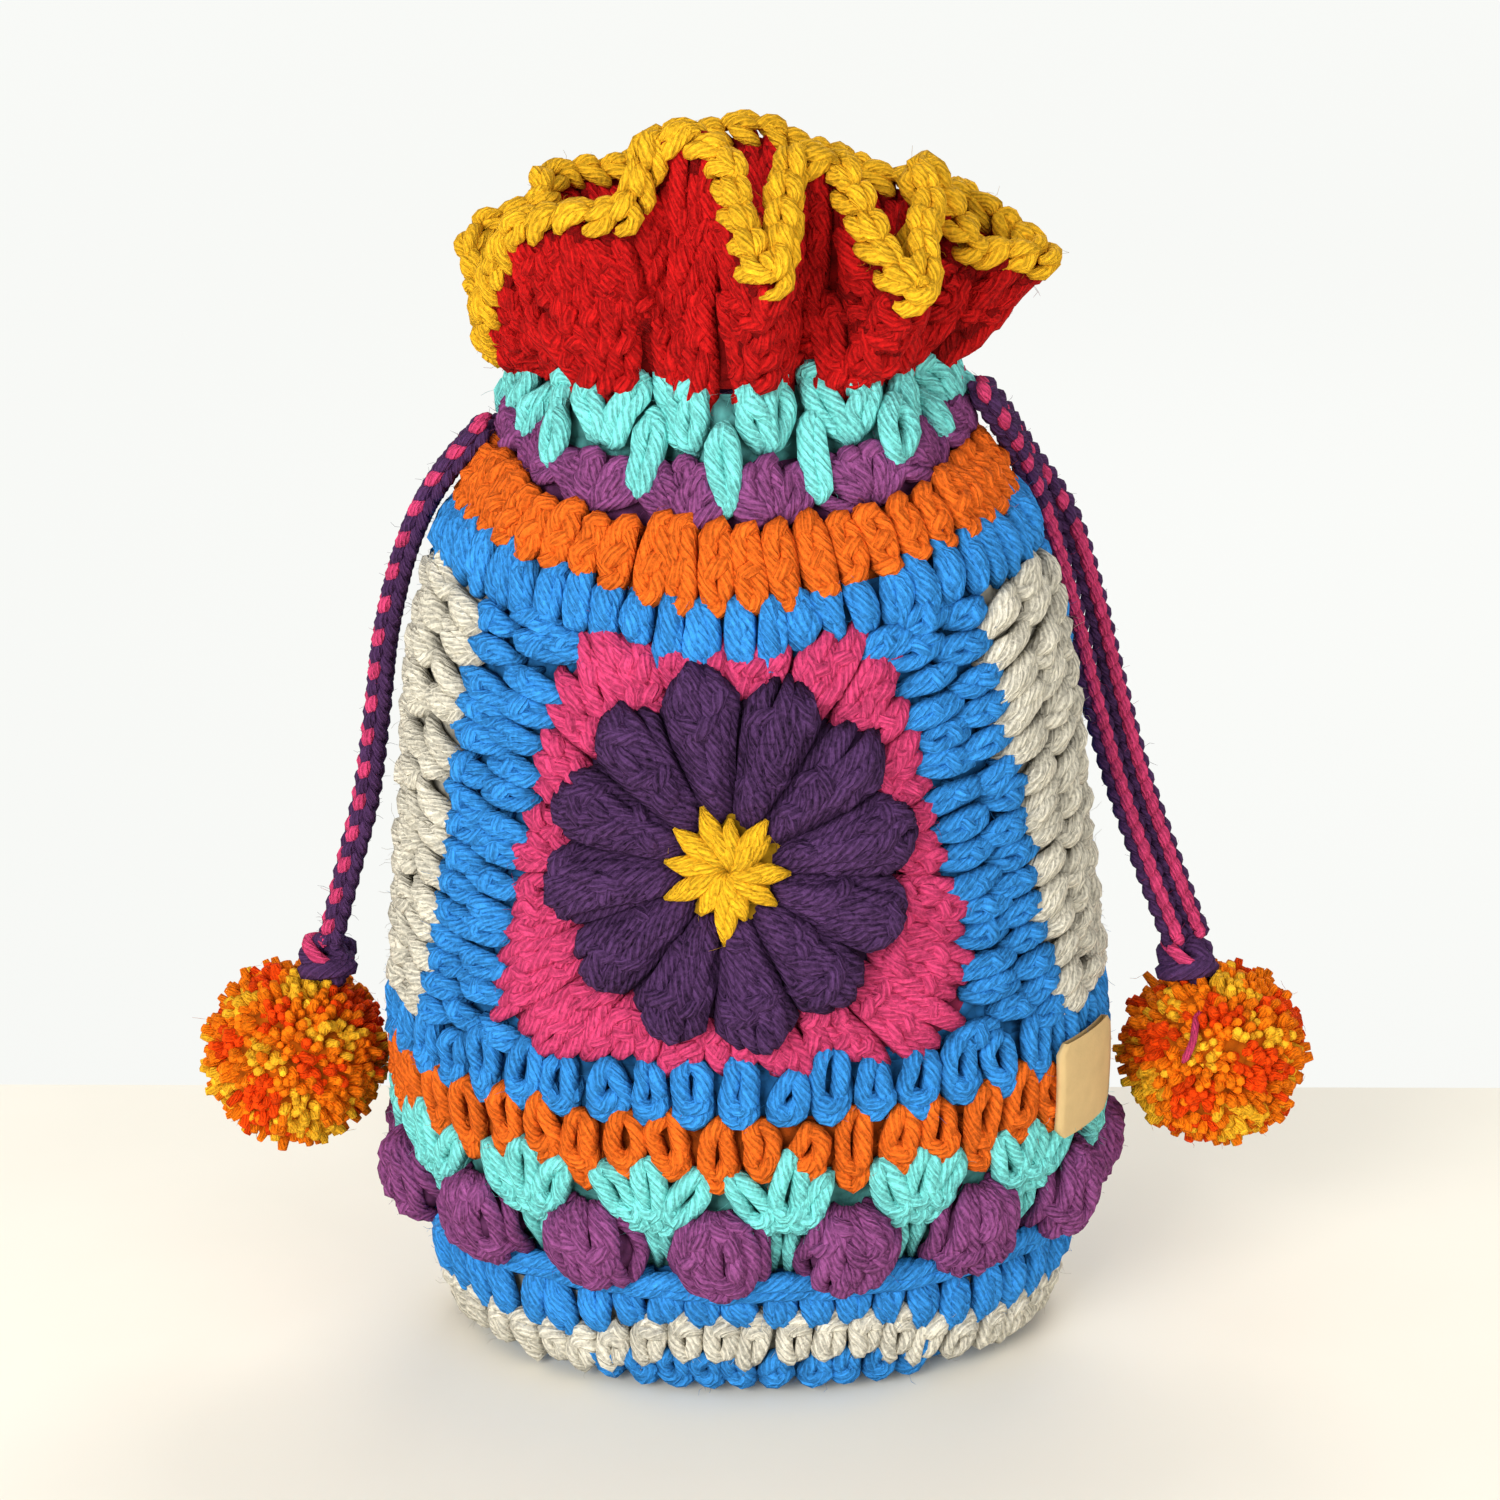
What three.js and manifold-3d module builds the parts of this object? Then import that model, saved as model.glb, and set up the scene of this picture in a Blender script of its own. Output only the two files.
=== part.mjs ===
// A crocheted drawstring pouch that stands on an oval base: coloured rounds of stitches, a flower
// square on the front and on the back, a gathered neck, a ruffled collar and two drawcords that end
// in pompoms. Millimetres, +Z up, the front faces -Y, the origin is the middle of the base.

import * as THREE from 'three';
import { mergeVertices } from 'three/addons/utils/BufferGeometryUtils.js';
import Module from 'manifold-3d';

// Crocheted fabric
const WALL = 3.0;
const GAP = 0.3;
const STITCHES = 48;
const STITCH_RELIEF = 1.3;

// Heights of the rounds, from the floor up
const BASE_EDGE_HEIGHT = 8;
const CREAM_ROUND_HEIGHT = 11;
const BASE_BLUE_HEIGHT = 8;
const BOBBLE_ROUND_HEIGHT = 12;
const LOWER_TURQUOISE_HEIGHT = 10;
const LOWER_ORANGE_HEIGHT = 10.5;
const LOWER_BLUE_HEIGHT = 9;
const SQUARE_HEIGHT = 74;
const UPPER_BLUE_HEIGHT = 8;
const UPPER_ORANGE_HEIGHT = 10.5;
const UPPER_PURPLE_HEIGHT = 8;
const EYELET_ROUND_HEIGHT = 13.5;
const RUFFLE_HEIGHT = 36;

const CREAM_LEVEL = BASE_EDGE_HEIGHT;
const BASE_BLUE_LEVEL = CREAM_LEVEL + CREAM_ROUND_HEIGHT;
const BOBBLE_LEVEL = BASE_BLUE_LEVEL + BASE_BLUE_HEIGHT;
const TURQUOISE_LEVEL = BOBBLE_LEVEL + BOBBLE_ROUND_HEIGHT;
const LOWER_ORANGE_LEVEL = TURQUOISE_LEVEL + LOWER_TURQUOISE_HEIGHT;
const LOWER_BLUE_LEVEL = LOWER_ORANGE_LEVEL + LOWER_ORANGE_HEIGHT;
const SQUARE_LEVEL = LOWER_BLUE_LEVEL + LOWER_BLUE_HEIGHT;
const UPPER_BLUE_LEVEL = SQUARE_LEVEL + SQUARE_HEIGHT;
const UPPER_ORANGE_LEVEL = UPPER_BLUE_LEVEL + UPPER_BLUE_HEIGHT;
const UPPER_PURPLE_LEVEL = UPPER_ORANGE_LEVEL + UPPER_ORANGE_HEIGHT;
const EYELET_LEVEL = UPPER_PURPLE_LEVEL + UPPER_PURPLE_HEIGHT;
const NECK_LEVEL = EYELET_LEVEL + EYELET_ROUND_HEIGHT;

// Half width and half depth of the oval section at the stations of the profile
const PROFILE = [
  { z: 0, halfWidth: 53.5, halfDepth: 36.5 },
  { z: CREAM_LEVEL, halfWidth: 57.5, halfDepth: 39.5 },
  { z: BOBBLE_LEVEL, halfWidth: 60.5, halfDepth: 42.5 },
  { z: TURQUOISE_LEVEL, halfWidth: 64.5, halfDepth: 46.5 },
  { z: LOWER_BLUE_LEVEL, halfWidth: 66, halfDepth: 49 },
  { z: SQUARE_LEVEL + 0.2 * SQUARE_HEIGHT, halfWidth: 63.8, halfDepth: 48 },
  { z: SQUARE_LEVEL + 0.5 * SQUARE_HEIGHT, halfWidth: 61.5, halfDepth: 46.5 },
  { z: SQUARE_LEVEL + 0.85 * SQUARE_HEIGHT, halfWidth: 58.8, halfDepth: 44.5 },
  { z: UPPER_ORANGE_LEVEL, halfWidth: 53.5, halfDepth: 41 },
  { z: UPPER_PURPLE_LEVEL, halfWidth: 48, halfDepth: 38 },
  { z: EYELET_LEVEL, halfWidth: 42, halfDepth: 34.5 },
  { z: NECK_LEVEL, halfWidth: 37, halfDepth: 29.5 },
];
const DEPTH_RATIO = 0.74;
const PERIMETER = 340;

// Gathers of the neck: folds where the drawcords pull the stitches in
const GATHERS = 8;
const GATHER_DEPTH = 5.5;
const FIRST_GATHER = -0.058;
const GATHER_START = UPPER_ORANGE_LEVEL;
const GATHER_END = NECK_LEVEL - 6;

// The drawcords also lift the upper rounds at both sides
const SIDE_LIFT = 8;
const LIFT_START = SQUARE_LEVEL + SQUARE_HEIGHT / 4;

// Bobbles, and the flower squares
const BASE_RIDGE = 2.4;
const BOBBLES = 15;
const BOBBLE_SHIFT = 3;
const BOBBLE_RELIEF = 10;
const SPIKE_HEIGHT = 7.5;
const CLUSTER_RELIEF = 2.2;
const PETALS = 12;
const PETAL_RELIEF = 6.5;
const PETAL_RADIUS = 32;
const CENTRE_RADIUS = 9.5;
const CENTRE_RELIEF = 3.5;
const PINK_HALF_WIDTH = 42;
const BLUE_EDGE = 2.5;
const PINK_HALF_HEIGHT = SQUARE_HEIGHT / 2 - BLUE_EDGE;
const PINK_ROUNDNESS = { top: 2.6, bottom: 7 };
const FRONT_HALF_WIDTH = 62;
const FRONT_NARROWING = 0.17;
const CREAM_JOIN_WIDTH = 25;

// Ruffle: its rim at places round the neck, as a share of a turn, with the reach outwards and the
// droop below the ruffle's usual height
const RUFFLE_WALL = 2.4;
const EDGING_RADIUS = 2.2;
const RIM = [
  { at: 0, reach: 2, droop: -1 },
  { at: 0.03, reach: 17, droop: 16.5 },
  { at: 0.06, reach: 1, droop: 0 },
  { at: 0.09, reach: 1, droop: 1 },
  { at: 0.12, reach: 16, droop: 21 },
  { at: 0.15, reach: 8, droop: 11 },
  { at: 0.18, reach: 1, droop: 3 },
  { at: 0.205, reach: 7, droop: 17 },
  { at: 0.235, reach: 17, droop: 19 },
  { at: 0.28, reach: 5, droop: 11 },
  { at: 0.33, reach: 8, droop: 11 },
  { at: 0.38, reach: 2, droop: 9 },
  { at: 0.43, reach: 6, droop: 6 },
  { at: 0.49, reach: 3, droop: 1 },
  { at: 0.55, reach: 5, droop: 3 },
  { at: 0.6, reach: 5, droop: 8 },
  { at: 0.65, reach: 8, droop: 8 },
  { at: 0.68, reach: 4, droop: 12 },
  { at: 0.705, reach: 12, droop: 17 },
  { at: 0.74, reach: 8, droop: 25 },
  { at: 0.77, reach: 4, droop: 34 },
  { at: 0.8, reach: 7, droop: 27 },
  { at: 0.83, reach: 9, droop: 18 },
  { at: 0.86, reach: 10, droop: 10 },
  { at: 0.9, reach: 9, droop: 8 },
  { at: 0.93, reach: 7, droop: 8 },
  { at: 0.95, reach: 2, droop: -3 },
  { at: 0.975, reach: 1, droop: -4 },
];

// Drawcords, knots, pompoms and label
const CORD_DIAMETER = 4.8;
const CORD_SIDES = 8;
const CORD_PITCH = 5.5;
const STRAND_SPREAD = 5.6;
const CORD_OUT = 1.2;
const KNOT_RADIUS = 6.4;
const KNOT_HALF_HEIGHT = 5.2;
const POMPOM_RADIUS = 17.2;
const POMPOM_TUFTS = 0.5;
const LABEL_WIDTH = 17;
const LABEL_HEIGHT = 18;
const LABEL_THICKNESS = 1.2;
const LABEL_SHARE = 0.192;

// Routes of the strands below the place where they leave the neck
const STRAND_ROUTES = {
  left_front: [
    [-53, -2.5, 161.5], [-59, -1, 150], [-63.8, 0, 134], [-66.4, 0.5, 118],
    [-69.2, 0.5, 102], [-73.3, 0.5, 88], [-77.6, 0.3, 73.8],
  ],
  left_back: [
    [-53, 3.1, 161.5], [-59.4, 4.6, 150], [-64.4, 5.6, 134], [-67.4, 6.1, 118],
    [-70.4, 6.1, 102], [-74.4, 5.9, 88], [-78.4, 5.6, 73.8],
  ],
  right_front: [
    [46.6, 1, 171.5], [50.8, 8.4, 162.5], [55.4, 15, 150], [60, 16.5, 134], [64, 15.5, 118],
    [68.6, 12.5, 102], [73.6, 8, 88], [79.6, 3.6, 72.8],
  ],
  right_back: [
    [46.8, 7.2, 171.5], [51.4, 14.6, 163], [59.4, 19.4, 150], [64.6, 20, 134], [68.6, 18.8, 118],
    [73, 15.4, 102], [78, 11, 88], [83.8, 7.1, 72.8],
  ],
};
const KNOT_CENTRES = { left: [-78.6, 2.8, 70.2], right: [82, 5, 69.2] };
const POMPOM_CENTRES = { left: [-86, 1.5, 51], right: [87.2, 3.5, 50.5] };

const COLOURS = {
  blue: 0x3890dd,
  cream: 0xd6cfbc,
  purple: 0x86467a,
  turquoise: 0x7adfda,
  orange: 0xee6e20,
  pink: 0xd44372,
  aubergine: 0x4b2f56,
  yellow: 0xf0b826,
  red: 0xb81513,
  marigold: 0xea7a14,
  tan: 0xd5b57a,
};

const wasm = await Module();
wasm.setup();
const pouch = new THREE.Group();

function addPiece(name, geometry, colour) {
  const material = new THREE.MeshStandardMaterial({ color: colour, roughness: 0.95, metalness: 0 });
  const mesh = new THREE.Mesh(geometry, material);
  mesh.name = name;
  pouch.add(mesh);
}

// Joins and cuts of closed geometry
function toSolid(geometry) {
  const bare = geometry.clone();
  bare.deleteAttribute('normal');
  bare.deleteAttribute('uv');
  const merged = mergeVertices(bare, 1e-4);
  return new wasm.Manifold(new wasm.Mesh({
    numProp: 3,
    vertProperties: new Float32Array(merged.attributes.position.array),
    triVerts: new Uint32Array(merged.index.array),
  }));
}

function fromSolid(solid) {
  const mesh = solid.getMesh();
  const geometry = new THREE.BufferGeometry();
  geometry.setAttribute('position', new THREE.BufferAttribute(new Float32Array(mesh.vertProperties), 3));
  geometry.setIndex(new THREE.BufferAttribute(new Uint32Array(mesh.triVerts), 1));
  return geometry;
}

function cut(geometry, tool) {
  return fromSolid(toSolid(geometry).subtract(toSolid(tool)));
}

function unite(geometry, other) {
  return fromSolid(toSolid(geometry).add(toSolid(other)));
}

// A skin through rings of points: the last ring joins the first, or a fan closes each end
function loft(rings, joined) {
  const points = rings.flat();
  const starts = rings.map((_, k) => rings.slice(0, k).reduce((sum, ring) => sum + ring.length, 0));
  const at = (ring, column) => starts[ring] + column % rings[ring].length;
  const index = [];
  const spans = joined ? rings.length : rings.length - 1;
  for (let low = 0; low < spans; low += 1) {
    const high = (low + 1) % rings.length;
    let i = 0;
    let j = 0;
    while (i < rings[low].length || j < rings[high].length) {
      if ((i + 1) / rings[low].length <= (j + 1) / rings[high].length) {
        index.push(at(low, i), at(low, i + 1), at(high, j));
        i += 1;
      } else {
        index.push(at(low, i), at(high, j + 1), at(high, j));
        j += 1;
      }
    }
  }
  if (!joined) {
    const total = (ring) => ring.reduce((sum, point) => sum.add(point), new THREE.Vector3());
    const middle = (ring) => total(ring).divideScalar(ring.length);
    const end = rings.length - 1;
    const first = points.push(middle(rings[0])) - 1;
    const last = points.push(middle(rings[end])) - 1;
    rings[0].forEach((_, column) => index.push(first, at(0, column + 1), at(0, column)));
    rings[end].forEach((_, column) => index.push(last, at(end, column), at(end, column + 1)));
  }
  const geometry = new THREE.BufferGeometry();
  geometry.setFromPoints(points);
  geometry.setIndex(index);
  return geometry;
}

const range = (count) => Array.from({ length: count }, (_, k) => k);

// The pouch's skin: share runs once round from the front centre towards +X, z is the height
function profileAt(z) {
  let i = 0;
  while (i < PROFILE.length - 2 && z > PROFILE[i + 1].z) i += 1;
  const low = PROFILE[i];
  const high = PROFILE[i + 1];
  const span = high.z - low.z;
  const t = (z - low.z) / span;
  const slope = (k, key) => {
    const before = PROFILE[Math.max(k - 1, 0)];
    const after = PROFILE[Math.min(k + 1, PROFILE.length - 1)];
    return (after[key] - before[key]) / (after.z - before.z);
  };
  const along = (key) => low[key] * (1 + 2 * t) * (1 - t) ** 2 + high[key] * t * t * (3 - 2 * t)
    + span * (slope(i, key) * t * (1 - t) ** 2 - slope(i + 1, key) * t * t * (1 - t));
  return { halfWidth: along('halfWidth'), halfDepth: along('halfDepth') };
}

function roundAngle(share) {
  const crowding = (1 - DEPTH_RATIO) / (1 + DEPTH_RATIO) / 2;
  return 2 * Math.PI * share - crowding * Math.sin(4 * Math.PI * share);
}

function outwardAt(share, z) {
  const angle = roundAngle(share);
  const { halfWidth, halfDepth } = profileAt(z);
  return new THREE.Vector3(Math.sin(angle) / halfWidth, -Math.cos(angle) / halfDepth, 0).normalize();
}

function liftedLevel(share, z) {
  const rise = THREE.MathUtils.smoothstep(z, LIFT_START, UPPER_ORANGE_LEVEL);
  const fall = THREE.MathUtils.smoothstep(z, UPPER_PURPLE_LEVEL, NECK_LEVEL);
  return z + SIDE_LIFT * (rise - fall) * Math.sin(roundAngle(share)) ** 2;
}

function ovalPoint(share, z) {
  const angle = roundAngle(share);
  const level = liftedLevel(share, z);
  const { halfWidth, halfDepth } = profileAt(level);
  return new THREE.Vector3(halfWidth * Math.sin(angle), -halfDepth * Math.cos(angle), level);
}

function gatherFold(share, z) {
  const valley = (1 + Math.cos(2 * Math.PI * GATHERS * (share - FIRST_GATHER))) / 2;
  return GATHER_DEPTH * valley * valley * THREE.MathUtils.smoothstep(z, GATHER_START, GATHER_END);
}

function skinPoint(share, z) {
  return ovalPoint(share, z).addScaledVector(outwardAt(share, z), -gatherFold(share, z));
}

function normalOf(surface, share, t) {
  const step = 1e-3;
  const across = surface(share + step, t).sub(surface(share - step, t));
  const up = surface(share, t + step).sub(surface(share, t - step));
  return across.cross(up).normalize();
}

function pouchPoint(share, z, height) {
  return skinPoint(share, z).addScaledVector(normalOf(skinPoint, share, z), height);
}

// A wall that closes on itself: place gives each point's share and z, relief its height on the skin.
// The inner face is plain, so it has fewer columns and rows unless the wall bends a lot.
function wall(columns, rows, place, relief, innerColumns = columns / 2, innerRows = 1) {
  const ring = (count, t, height) => range(count).map((column) => {
    const c = column / count;
    const { share, z } = place(c, t);
    return pouchPoint(share, z, height(c, t));
  });
  const outer = range(rows + 1).map((row) => ring(columns, row / rows, relief));
  const inner = range(innerRows + 1).map((row) => ring(innerColumns, 1 - row / innerRows, () => -WALL));
  return loft([...outer, ...inner], true);
}

const flat = (z) => () => z;
const between = (low, high) => (c, t) => {
  const z = THREE.MathUtils.lerp(low(c) + GAP / 2, high(c) - GAP / 2, t);
  return { share: c, z };
};
const stitchRidge = (c) => STITCH_RELIEF * Math.abs(Math.cos(Math.PI * STITCHES * c));
const STITCH_COLUMNS = 2 * STITCHES;
const BOBBLE_COLUMNS = 4 * BOBBLES;
const PLAIN_COLUMNS = STITCHES;

// The base: an oval dish whose edge turns up to carry the first round
function makeBase() {
  const turnUp = 3.5;
  const top = CREAM_LEVEL - GAP / 2;
  const oval = (inset, z) => range(PLAIN_COLUMNS).map((column) => {
    const share = column / PLAIN_COLUMNS;
    return ovalPoint(share, z).addScaledVector(outwardAt(share, z), -inset);
  });
  const rings = [
    oval(turnUp, 0),
    oval(0, turnUp / 2),
    oval(0, top),
    oval(WALL, top),
    oval(WALL + turnUp, WALL),
  ];
  addPiece('base_disc', loft(rings, false), COLOURS.blue);
  const cream = between(flat(CREAM_LEVEL), flat(BASE_BLUE_LEVEL));
  addPiece('base_cream_round', wall(PLAIN_COLUMNS, 1, cream, () => 0.6), COLOURS.cream);
  const blue = between(flat(BASE_BLUE_LEVEL), flat(BOBBLE_LEVEL));
  const ridge = (c, t) => (t > 0.5 ? BASE_RIDGE : 0.6);
  addPiece('base_blue_round', wall(PLAIN_COLUMNS, 2, blue, ridge), COLOURS.blue);
}

// Bobbles, the turquoise stitches that reach down between them, and the orange and blue rounds
function makeLowerRounds() {
  const shifted = (place) => (c, t) => {
    const { share, z } = place(c, t);
    return { share: share - BOBBLE_SHIFT / PERIMETER, z };
  };
  const spikes = (c) => TURQUOISE_LEVEL + SPIKE_HEIGHT * Math.cos(2 * Math.PI * BOBBLES * c);
  const bobble = (c, t) => {
    const across = Math.abs(Math.cos(Math.PI * BOBBLES * c));
    return BOBBLE_RELIEF * Math.sqrt(Math.sin(Math.PI * t)) * across;
  };
  const bobbles = shifted(between(flat(BOBBLE_LEVEL), (c) => spikes(c) - GAP));
  addPiece('bobble_round', wall(BOBBLE_COLUMNS, 4, bobbles, bobble), COLOURS.purple);
  const turquoise = shifted(between(spikes, flat(LOWER_ORANGE_LEVEL)));
  addPiece('lower_turquoise_round', wall(BOBBLE_COLUMNS, 1, turquoise, () => 1), COLOURS.turquoise);
  const orange = between(flat(LOWER_ORANGE_LEVEL), flat(LOWER_BLUE_LEVEL));
  addPiece('lower_orange_round', wall(STITCH_COLUMNS, 1, orange, stitchRidge), COLOURS.orange);
  const blue = between(flat(LOWER_BLUE_LEVEL), flat(SQUARE_LEVEL));
  addPiece('lower_blue_round', wall(STITCH_COLUMNS, 1, blue, stitchRidge), COLOURS.blue);
}

// A flower square: rounds about its middle, from circles out to the edge of the square
function squarePoint(c, width, height, roundness) {
  const x = Math.sin(2 * Math.PI * c);
  const y = Math.cos(2 * Math.PI * c);
  const corner = Math.max(Math.abs(x), Math.abs(y));
  const aside = Math.min(Math.abs(x), Math.abs(y)) / corner;
  const size = corner * (1 + aside ** roundness) ** (1 / roundness);
  return new THREE.Vector2(width * x / size, height * y / size);
}

function narrowed(point, narrowing) {
  point.x *= 1 - narrowing * (point.y / SQUARE_HEIGHT + 0.5);
  return point;
}

function makeSquare(side, centreShare, halfWidth, blueRows, narrowing) {
  const columns = 4 * PETALS;
  const sharp = 200;
  const place = (point) => ({
    share: centreShare + point.x / PERIMETER,
    z: SQUARE_LEVEL + SQUARE_HEIGHT / 2 + point.y,
  });
  const circle = (radius) => (c) => squarePoint(c, radius, radius, 2);
  const pinkEdge = (grow) => (c) => {
    const { top, bottom } = PINK_ROUNDNESS;
    const roundness = Math.cos(2 * Math.PI * c) > 0 ? top : bottom;
    const point = squarePoint(c, PINK_HALF_WIDTH + grow, PINK_HALF_HEIGHT + grow, roundness);
    return narrowed(point, narrowing);
  };
  const squareEdge = (c) => (
    narrowed(squarePoint(c, halfWidth - GAP, SQUARE_HEIGHT / 2 - GAP, sharp), narrowing));
  const span = (inner, outer) => (c, t) => place(inner(c).lerp(outer(c), t));

  const blue = span(pinkEdge(GAP), squareEdge);
  const frame = wall(columns, blueRows, blue, () => 1, columns, blueRows);
  addPiece(`${side}_square_blue_rounds`, frame, COLOURS.blue);
  const pink = span(circle(PETAL_RADIUS + GAP), pinkEdge(0));
  addPiece(`${side}_square_pink_round`, wall(columns, 1, pink, () => 1), COLOURS.pink);
  const petals = span(circle(CENTRE_RADIUS + GAP), circle(PETAL_RADIUS));
  const puff = (c, t) => {
    const lobe = 0.45 + 0.55 * Math.abs(Math.sin(Math.PI * PETALS * c));
    return PETAL_RELIEF * lobe * Math.sqrt(Math.sin(Math.PI * (0.1 + 0.87 * t)));
  };
  addPiece(`${side}_flower_petals`, wall(columns, 3, petals, puff), COLOURS.aubergine);

  const disc = (radius, height) => range(2 * PETALS).map((column) => {
    const { share, z } = place(circle(radius)(-column / (2 * PETALS)));
    return pouchPoint(share, z, height);
  });
  const rings = [
    disc(CENTRE_RADIUS / 3, -WALL),
    disc(CENTRE_RADIUS, -WALL),
    disc(CENTRE_RADIUS, CENTRE_RELIEF / 2),
    disc(CENTRE_RADIUS / 3, CENTRE_RELIEF),
  ];
  addPiece(`${side}_flower_centre`, loft(rings, false), COLOURS.yellow);
}

// An upright strip on the skin, with the share of a turn and the height of each of its columns
function strip(sharesAt, lowZ, highZ, steps, heights, depth) {
  const rings = range(steps + 1).map((step) => {
    const z = THREE.MathUtils.lerp(lowZ, highZ, step / steps);
    const outer = sharesAt(z).map((share, k) => pouchPoint(share, z, heights[k]));
    const inner = sharesAt(z).map((share, k) => pouchPoint(share, z, depth(heights[k])));
    return [...outer, ...inner.reverse()];
  });
  return loft(rings, false);
}

// Cream joins: upright strips of stitches between the front and the back square
function makeCreamJoins() {
  const far = FRONT_HALF_WIDTH + CREAM_JOIN_WIDTH;
  const ridges = [0.4, 1.4, 0.3, 1.4, 0.4];
  const shares = (z) => {
    const y = z - SQUARE_LEVEL - SQUARE_HEIGHT / 2;
    const near = narrowed(new THREE.Vector2(FRONT_HALF_WIDTH, y), FRONT_NARROWING).x + GAP;
    return ridges.map((_, k) => THREE.MathUtils.lerp(near, far, k / (ridges.length - 1)) / PERIMETER);
  };
  const lowZ = SQUARE_LEVEL + GAP / 2;
  const highZ = UPPER_BLUE_LEVEL - GAP;
  const mirrored = (z) => shares(z).map((share) => -share).reverse();
  addPiece('right_cream_join', strip(shares, lowZ, highZ, 9, ridges, () => -WALL), COLOURS.cream);
  addPiece('left_cream_join', strip(mirrored, lowZ, highZ, 9, ridges, () => -WALL), COLOURS.cream);
}

// The label: a small folded tab that lies on the side, over the lower edge of the square
function makeLabel() {
  const half = LABEL_WIDTH / PERIMETER / 2;
  const shares = [-1, -0.5, 0, 0.5, 1].map((k) => LABEL_SHARE + k * half);
  const top = STITCH_RELIEF + GAP + LABEL_THICKNESS;
  const lowZ = LOWER_BLUE_LEVEL - LABEL_HEIGHT * 0.7;
  const heights = shares.map(() => top);
  const tab = strip(() => shares, lowZ, lowZ + LABEL_HEIGHT, 3, heights, (height) => height - LABEL_THICKNESS);
  addPiece('label', tab, COLOURS.tan);
}

// Where each drawcord leaves the neck: a ridge between two gathers at the side
const SIDES = { left: -1, right: 1 };

function cordExit(side) {
  const level = EYELET_LEVEL + EYELET_ROUND_HEIGHT / 2 - 0.3 + SIDES[side] * CORD_PITCH / 2;
  const ridge = FIRST_GATHER + (side === 'right' ? 2.5 : 6.5) / GATHERS;
  return pouchPoint(ridge, level, 0).setZ(level);
}

// Upper rounds: blue, orange, purple clusters and the turquoise eyelet round that the drawcords leave by
function makeUpperRounds() {
  const zigzag = (c) => EYELET_LEVEL + CLUSTER_RELIEF * Math.cos(2 * Math.PI * BOBBLES * c);
  const blue = between(flat(UPPER_BLUE_LEVEL), flat(UPPER_ORANGE_LEVEL));
  addPiece('upper_blue_round', wall(STITCH_COLUMNS, 1, blue, stitchRidge), COLOURS.blue);
  const orange = between(flat(UPPER_ORANGE_LEVEL), flat(UPPER_PURPLE_LEVEL));
  addPiece('upper_orange_round', wall(STITCH_COLUMNS, 1, orange, stitchRidge), COLOURS.orange);
  const cluster = (c, t) => CLUSTER_RELIEF * Math.sin(Math.PI * t) * Math.cos(Math.PI * BOBBLES * c) ** 2;
  const purple = between(flat(UPPER_PURPLE_LEVEL), (c) => zigzag(c) - 2 * GAP);
  const clusters = wall(BOBBLE_COLUMNS, 2, purple, cluster);
  const eyelets = wall(BOBBLE_COLUMNS, 1, between(zigzag, flat(NECK_LEVEL)), () => 0.8);
  const slots = Object.keys(SIDES).map((side) => {
    const exit = cordExit(side);
    const height = CORD_DIAMETER + 2 * GAP;
    const slot = new THREE.BoxGeometry(6 * WALL, STRAND_SPREAD + height, height);
    return slot.translate(exit.x, exit.y, exit.z);
  });
  addPiece('upper_purple_round', slots.reduce(cut, clusters), COLOURS.purple);
  addPiece('eyelet_round', slots.reduce(cut, eyelets), COLOURS.turquoise);
}

// Ruffle: the neck's oval opens into folds, and an edging runs along its rim
function rimAt(share) {
  const turn = share - Math.floor(share);
  const next = RIM.findIndex((spot) => spot.at > turn);
  const low = RIM[(next < 0 ? RIM.length : next) - 1];
  const high = next < 0 ? { ...RIM[0], at: 1 } : RIM[next];
  const t = THREE.MathUtils.smoothstep(turn, low.at, high.at);
  const mix = (key) => THREE.MathUtils.lerp(low[key], high[key], t);
  return { reach: mix('reach'), droop: mix('droop') };
}

function rufflePoint(share, t) {
  const { reach, droop } = rimAt(share);
  const out = reach * t ** 0.85 - WALL / 2 - gatherFold(share, NECK_LEVEL) * (1 - t);
  const point = ovalPoint(share, NECK_LEVEL).addScaledVector(outwardAt(share, NECK_LEVEL), out);
  point.z = NECK_LEVEL + GAP + (RUFFLE_HEIGHT - droop) * t;
  return point;
}

function makeRuffle() {
  const columns = 100;
  const rows = 2;
  const sides = 4;
  const foot = (height) => range(columns).map((k) => pouchPoint(k / columns, NECK_LEVEL + GAP, height));
  const ring = (t, height) => range(columns).map((k) => {
    const share = k / columns;
    return rufflePoint(share, t).addScaledVector(normalOf(rufflePoint, share, t), height);
  });
  const levels = range(rows).map((row) => (row + 1) / rows);
  const outer = levels.map((t) => ring(t, RUFFLE_WALL / 2));
  const inner = levels.map((t) => ring(t, -RUFFLE_WALL / 2)).reverse();
  addPiece('ruffle', loft([foot(0), ...outer, ...inner, foot(-WALL)], true), COLOURS.red);

  const line = (turn) => range(columns).map((k) => {
    const share = k / columns;
    const angle = 2 * Math.PI * (turn + 0.5) / sides;
    const rim = rufflePoint(share, 1);
    const normal = normalOf(rufflePoint, share, 1);
    const along = rufflePoint(share + 1e-3, 1).sub(rufflePoint(share - 1e-3, 1));
    const onward = normal.clone().cross(along).normalize();
    rim.addScaledVector(onward, EDGING_RADIUS * (1 + Math.sin(angle)) + 2 * GAP);
    return rim.addScaledVector(normal, EDGING_RADIUS * Math.cos(angle));
  });
  addPiece('ruffle_edging', loft(range(sides).map(line), true), COLOURS.yellow);
}

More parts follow.
